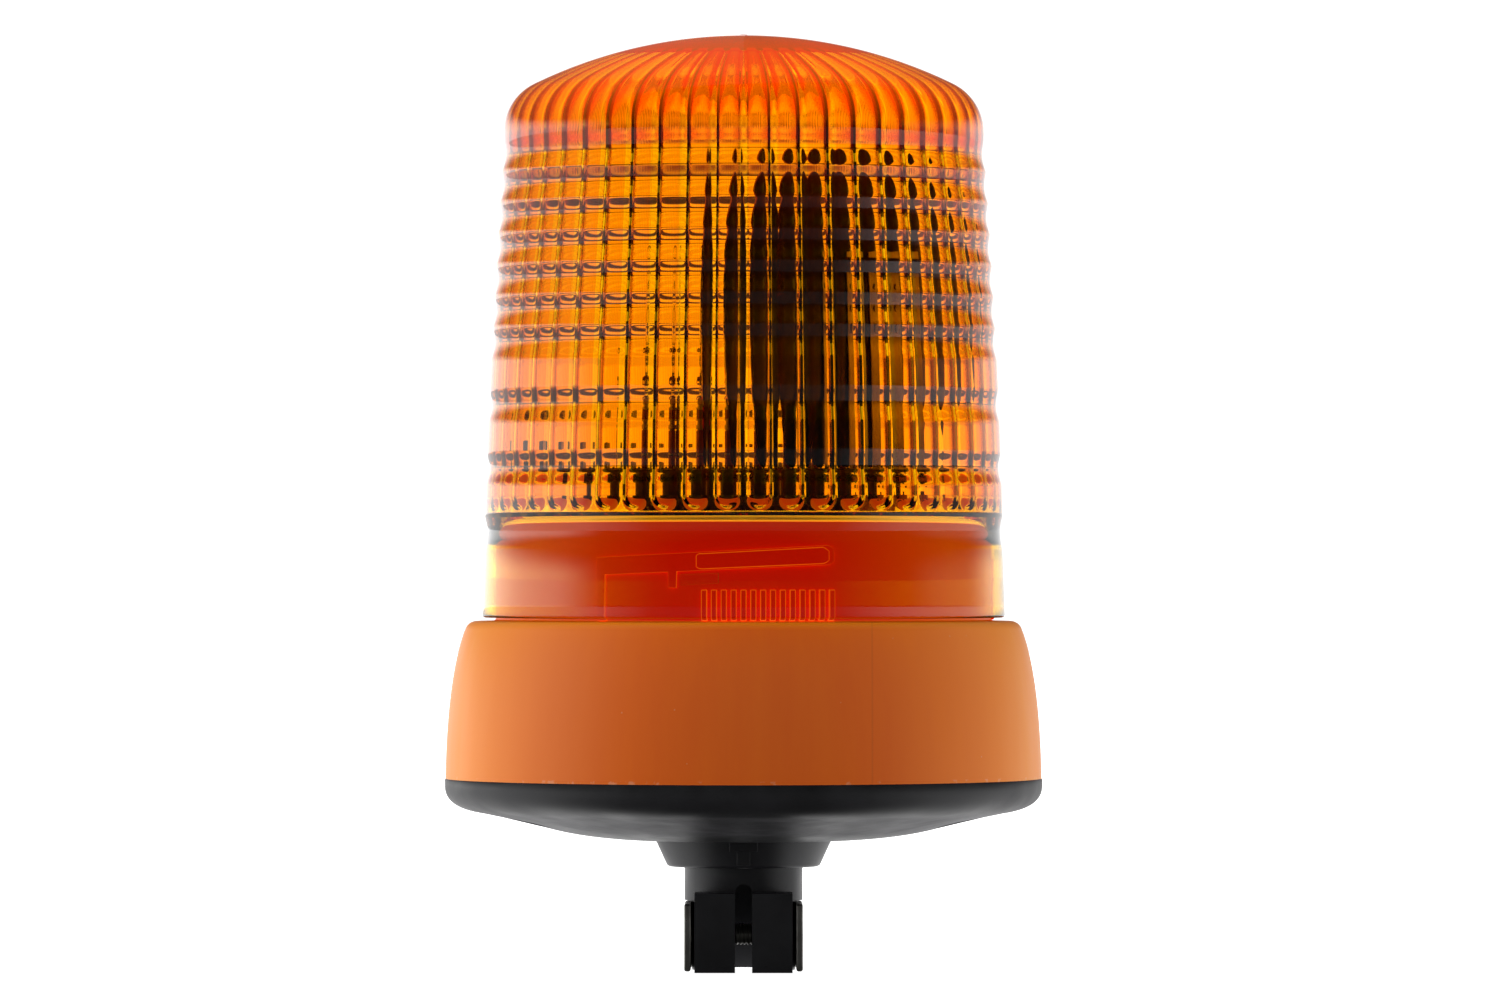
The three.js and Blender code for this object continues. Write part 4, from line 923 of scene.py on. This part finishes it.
def dish_tool(back, thick, rim):
    """A closed parabolic dish opening towards +X, round the filament's height."""
    steps = 24
    face = []
    for i in range(steps + 1):
        r = rim * i / steps
        face.append((r, r * r / (4 * FOCAL) - back))
    rear = [(r, d - thick) for r, d in reversed(face)]
    points, faces = lathe_data(face + rear, 128)
    turned = [(z - FOCAL, y, FOCUS_Z - x) for x, y, z in points]
    return bpy.data.objects.new("tool", mesh_from("dish", turned, faces))


def well():
    """The space for the bulb and its holder, cut up into the dish from below."""
    return tube_rod(13.5, 120, 166, 64)


def reflector():
    """The mirror dish with its rear boss, and the dark cover behind it."""
    rear_end = -34.0
    mirror = built("mirror_dish", "rotor", dish_tool(0, 1.2, MIRROR_RIM),
                   [("UNION", rod(5, (rear_end, 0, FOCUS_Z), (-30.6, 0, FOCUS_Z), 48)),
                    ("DIFFERENCE", well())], 0.0, 30)
    finish_with(facing(mirror), MIRROR)
    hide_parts("reflector")
    cover = built("mirror_cover", "rotor", dish_tool(1.7, 1.8, 42.6),
                  [("DIFFERENCE", rod(5.3, (-60, 0, FOCUS_Z), (-25, 0, FOCUS_Z), 48)),
                   ("DIFFERENCE", well())], 0.0, 30)
    finish_with(facing(cover), BLACK_INNER)
    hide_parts("reflector_shell")


def bulb_glass():
    """The bulb's clear envelope, open at its lower end."""
    top, bottom = GLASS_HIGH.z, GLASS_LOW.z
    outer = [(3.9, bottom)] + curve_through((3.9, bottom + 0.5), (4.1, bottom + 3.5), (5.2, bottom + 4.5), 6)
    outer += arc(0, top - 5.2, 5.2, 0, 88, 12) + [(0, top)]
    inner = [(0, top - 0.9)] + arc(0, top - 5.2, 4.3, 88, 0, 12) + [(4.3, bottom + 4.4), (3.0, bottom)]
    glass = lathe("bulb_quartz", outer + inner, 64, "base", 40)
    finish_with(glass, QUARTZ)
    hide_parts("bulb_glass")


# ---------- finishes on the CAD nodes that stay ----------
CAD_FINISH = {
    "black_plastic": BLACK_INNER, "white_nylon": NYLON, "steel": ZINC, "brass": BRASS,
    "bronze": BRONZE, "board_green": BOARD, "red_plastic": RED, "tungsten": TUNGSTEN,
    "rubber": RUBBER, "pale_silicone": SILICONE, "mirror_chrome": MIRROR, "bulb_glass": QUARTZ,
    "amber_lens": AMBER, "orange_housing": ORANGE,
}


def finish_cad_nodes():
    """Gives each CAD node its material and smooth shading; the shapes stay as they are."""
    slots = {part["node"]: part["material_slot"] for part in frame["record"]["subparts"]}
    for name, slot in slots.items():
        obj = frame["nodes"][name]
        obj.data.materials.clear()
        obj.data.materials.append(CAD_FINISH[slot])
        shade(obj.data, 50)


# ---------- stage, light and camera ----------
FLOOR_HALF, FLOOR_Z = 9000, -0.4


def floor():
    """A wide floor at the foot of the socket. It is pale and glowing to the camera; to other rays
    it is dark grey and glows least in front of the beacon."""
    corners = [(x * FLOOR_HALF, y * FLOOR_HALF, FLOOR_Z) for x, y in ((-1, -1), (1, -1), (1, 1), (-1, 1))]
    mesh = mesh_from("floor", corners, [(0, 1, 2, 3)])
    obj = bpy.data.objects.new("floor", mesh)
    bpy.context.collection.objects.link(obj)
    n = Nodes("pale_floor")
    x, y, _ = n.object_mm()
    azimuth = n.math("ARCTAN2", n.math("ABSOLUTE", x), n.math("MULTIPLY", y, -1.0))
    seen = n.add("ShaderNodeLightPath").outputs["Is Camera Ray"]
    glow = n.math("MAXIMUM", seen, n.ramp(azimuth, 0.7, 1.3, 0.03, 1.0))
    pale = n.mix(n.noise(0.002), (0.9, 0.9, 0.9, 1), (0.86, 0.86, 0.86, 1))
    n.set(base_color=n.mix(seen, (0.12, 0.12, 0.12, 1), pale), roughness=0.9,
          emission_color=(1.0, 1.0, 1.0, 1.0), emission_strength=glow, specular_ior_level=0.0)
    obj.data.materials.append(n.material)


def studio_light():
    """The world's light; there are no lamps. It is dark in front, brightest at the left, dimmer at
    the right and overhead, with a fill for light that has bounced off a matt surface. Mirror-like
    rays meet a second version with less light overhead."""
    world = bpy.data.worlds.new("studio")
    bpy.context.scene.world = world
    world.use_nodes = True
    tree = world.node_tree
    link, make = tree.links.new, tree.nodes.new

    def calc(operation, a, b=None):
        node = make("ShaderNodeMath")
        node.operation = operation
        for socket, value in zip(node.inputs, (a, b)):
            if isinstance(value, bpy.types.NodeSocket):
                link(value, socket)
            elif value is not None:
                socket.default_value = value
        return node.outputs[0]

    def smooth(value, low, high):
        node = make("ShaderNodeMapRange")
        node.interpolation_type = "SMOOTHSTEP"
        link(value, node.inputs["Value"])
        node.inputs["From Min"].default_value = low
        node.inputs["From Max"].default_value = high
        return node.outputs["Result"]

    split = make("ShaderNodeSeparateXYZ")
    link(make("ShaderNodeTexCoord").outputs["Generated"], split.inputs[0])
    x, y, z = split.outputs
    azimuth = calc("ARCTAN2", x, calc("MULTIPLY", y, -1.0))
    leftward = calc("MULTIPLY", azimuth, -1.0)
    path = make("ShaderNodeLightPath").outputs

    def blend(factor, a, b):
        return calc("ADD", calc("MULTIPLY", calc("SUBTRACT", 1.0, factor), a), calc("MULTIPLY", factor, b))

    lit_left = calc("SUBTRACT", calc("MULTIPLY", smooth(leftward, 0.95, 1.25), 2.0),
                    calc("MULTIPLY", smooth(leftward, 2.3, 2.7), 0.8))
    lit_right = calc("ADD", calc("MULTIPLY", smooth(azimuth, 1.0, 1.4), 0.45),
                     calc("MULTIPLY", smooth(azimuth, 1.8, 2.1), 0.75))
    fill = calc("MULTIPLY", smooth(path["Diffuse Depth"], 0.0, 1.0), 0.75)
    above = calc("SUBTRACT", 1.0, calc("MULTIPLY", smooth(z, 0.3, 0.6), 0.6))
    through = calc("MULTIPLY", calc("ADD", calc("ADD", calc("ADD", lit_left, lit_right), fill), 0.04), above)
    seen_left = calc("MULTIPLY", smooth(leftward, 1.1, 1.65), 1.9)
    seen_right = calc("ADD", calc("MULTIPLY", smooth(azimuth, 1.3, 1.7), 0.3),
                      calc("MULTIPLY", smooth(azimuth, 2.0, 2.5), 0.9))
    mirrored = calc("MULTIPLY", calc("ADD", calc("ADD", seen_left, seen_right), 0.02),
                    calc("SUBTRACT", 1.0, calc("MULTIPLY", smooth(z, 0.03, 0.2), 0.95)))
    level = blend(path["Is Glossy Ray"], through, mirrored)
    background = tree.nodes["Background"]
    link(level, background.inputs["Strength"])
    background.inputs["Color"].default_value = (1.0, 1.0, 1.0, 1.0)


def camera():
    """A long lens level with the neck, looking very slightly up."""
    data = bpy.data.cameras.new("camera")
    data.lens, data.sensor_width, data.clip_end = 222.0, 36.0, 50.0
    obj = bpy.data.objects.new("camera", data)
    bpy.context.collection.objects.link(obj)
    obj.location = (0.8 * MM, -2.5, 110 * MM)
    aim = Vector((0.8 * MM, 0, 127.4 * MM))
    obj.rotation_euler = (aim - obj.location).to_track_quat("-Z", "Y").to_euler()
    bpy.context.scene.camera = obj


def build():
    finish_cad_nodes()
    lens = lens_dome()
    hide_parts("lens_dome")
    for i in range(3):
        neck_station(i + 1, 120 * i)
        lens_lug(i + 1, 120 * i)
    housing()
    base_pan()
    collar()
    seam_gasket()
    lens_seal()
    pole_socket()
    clamp_strap()
    threaded_bolt()
    contact_spring()
    reflector()
    bulb_glass()
    floor()
    studio_light()
    camera()
    bpy.context.scene.view_settings.view_transform = "Standard"


build()
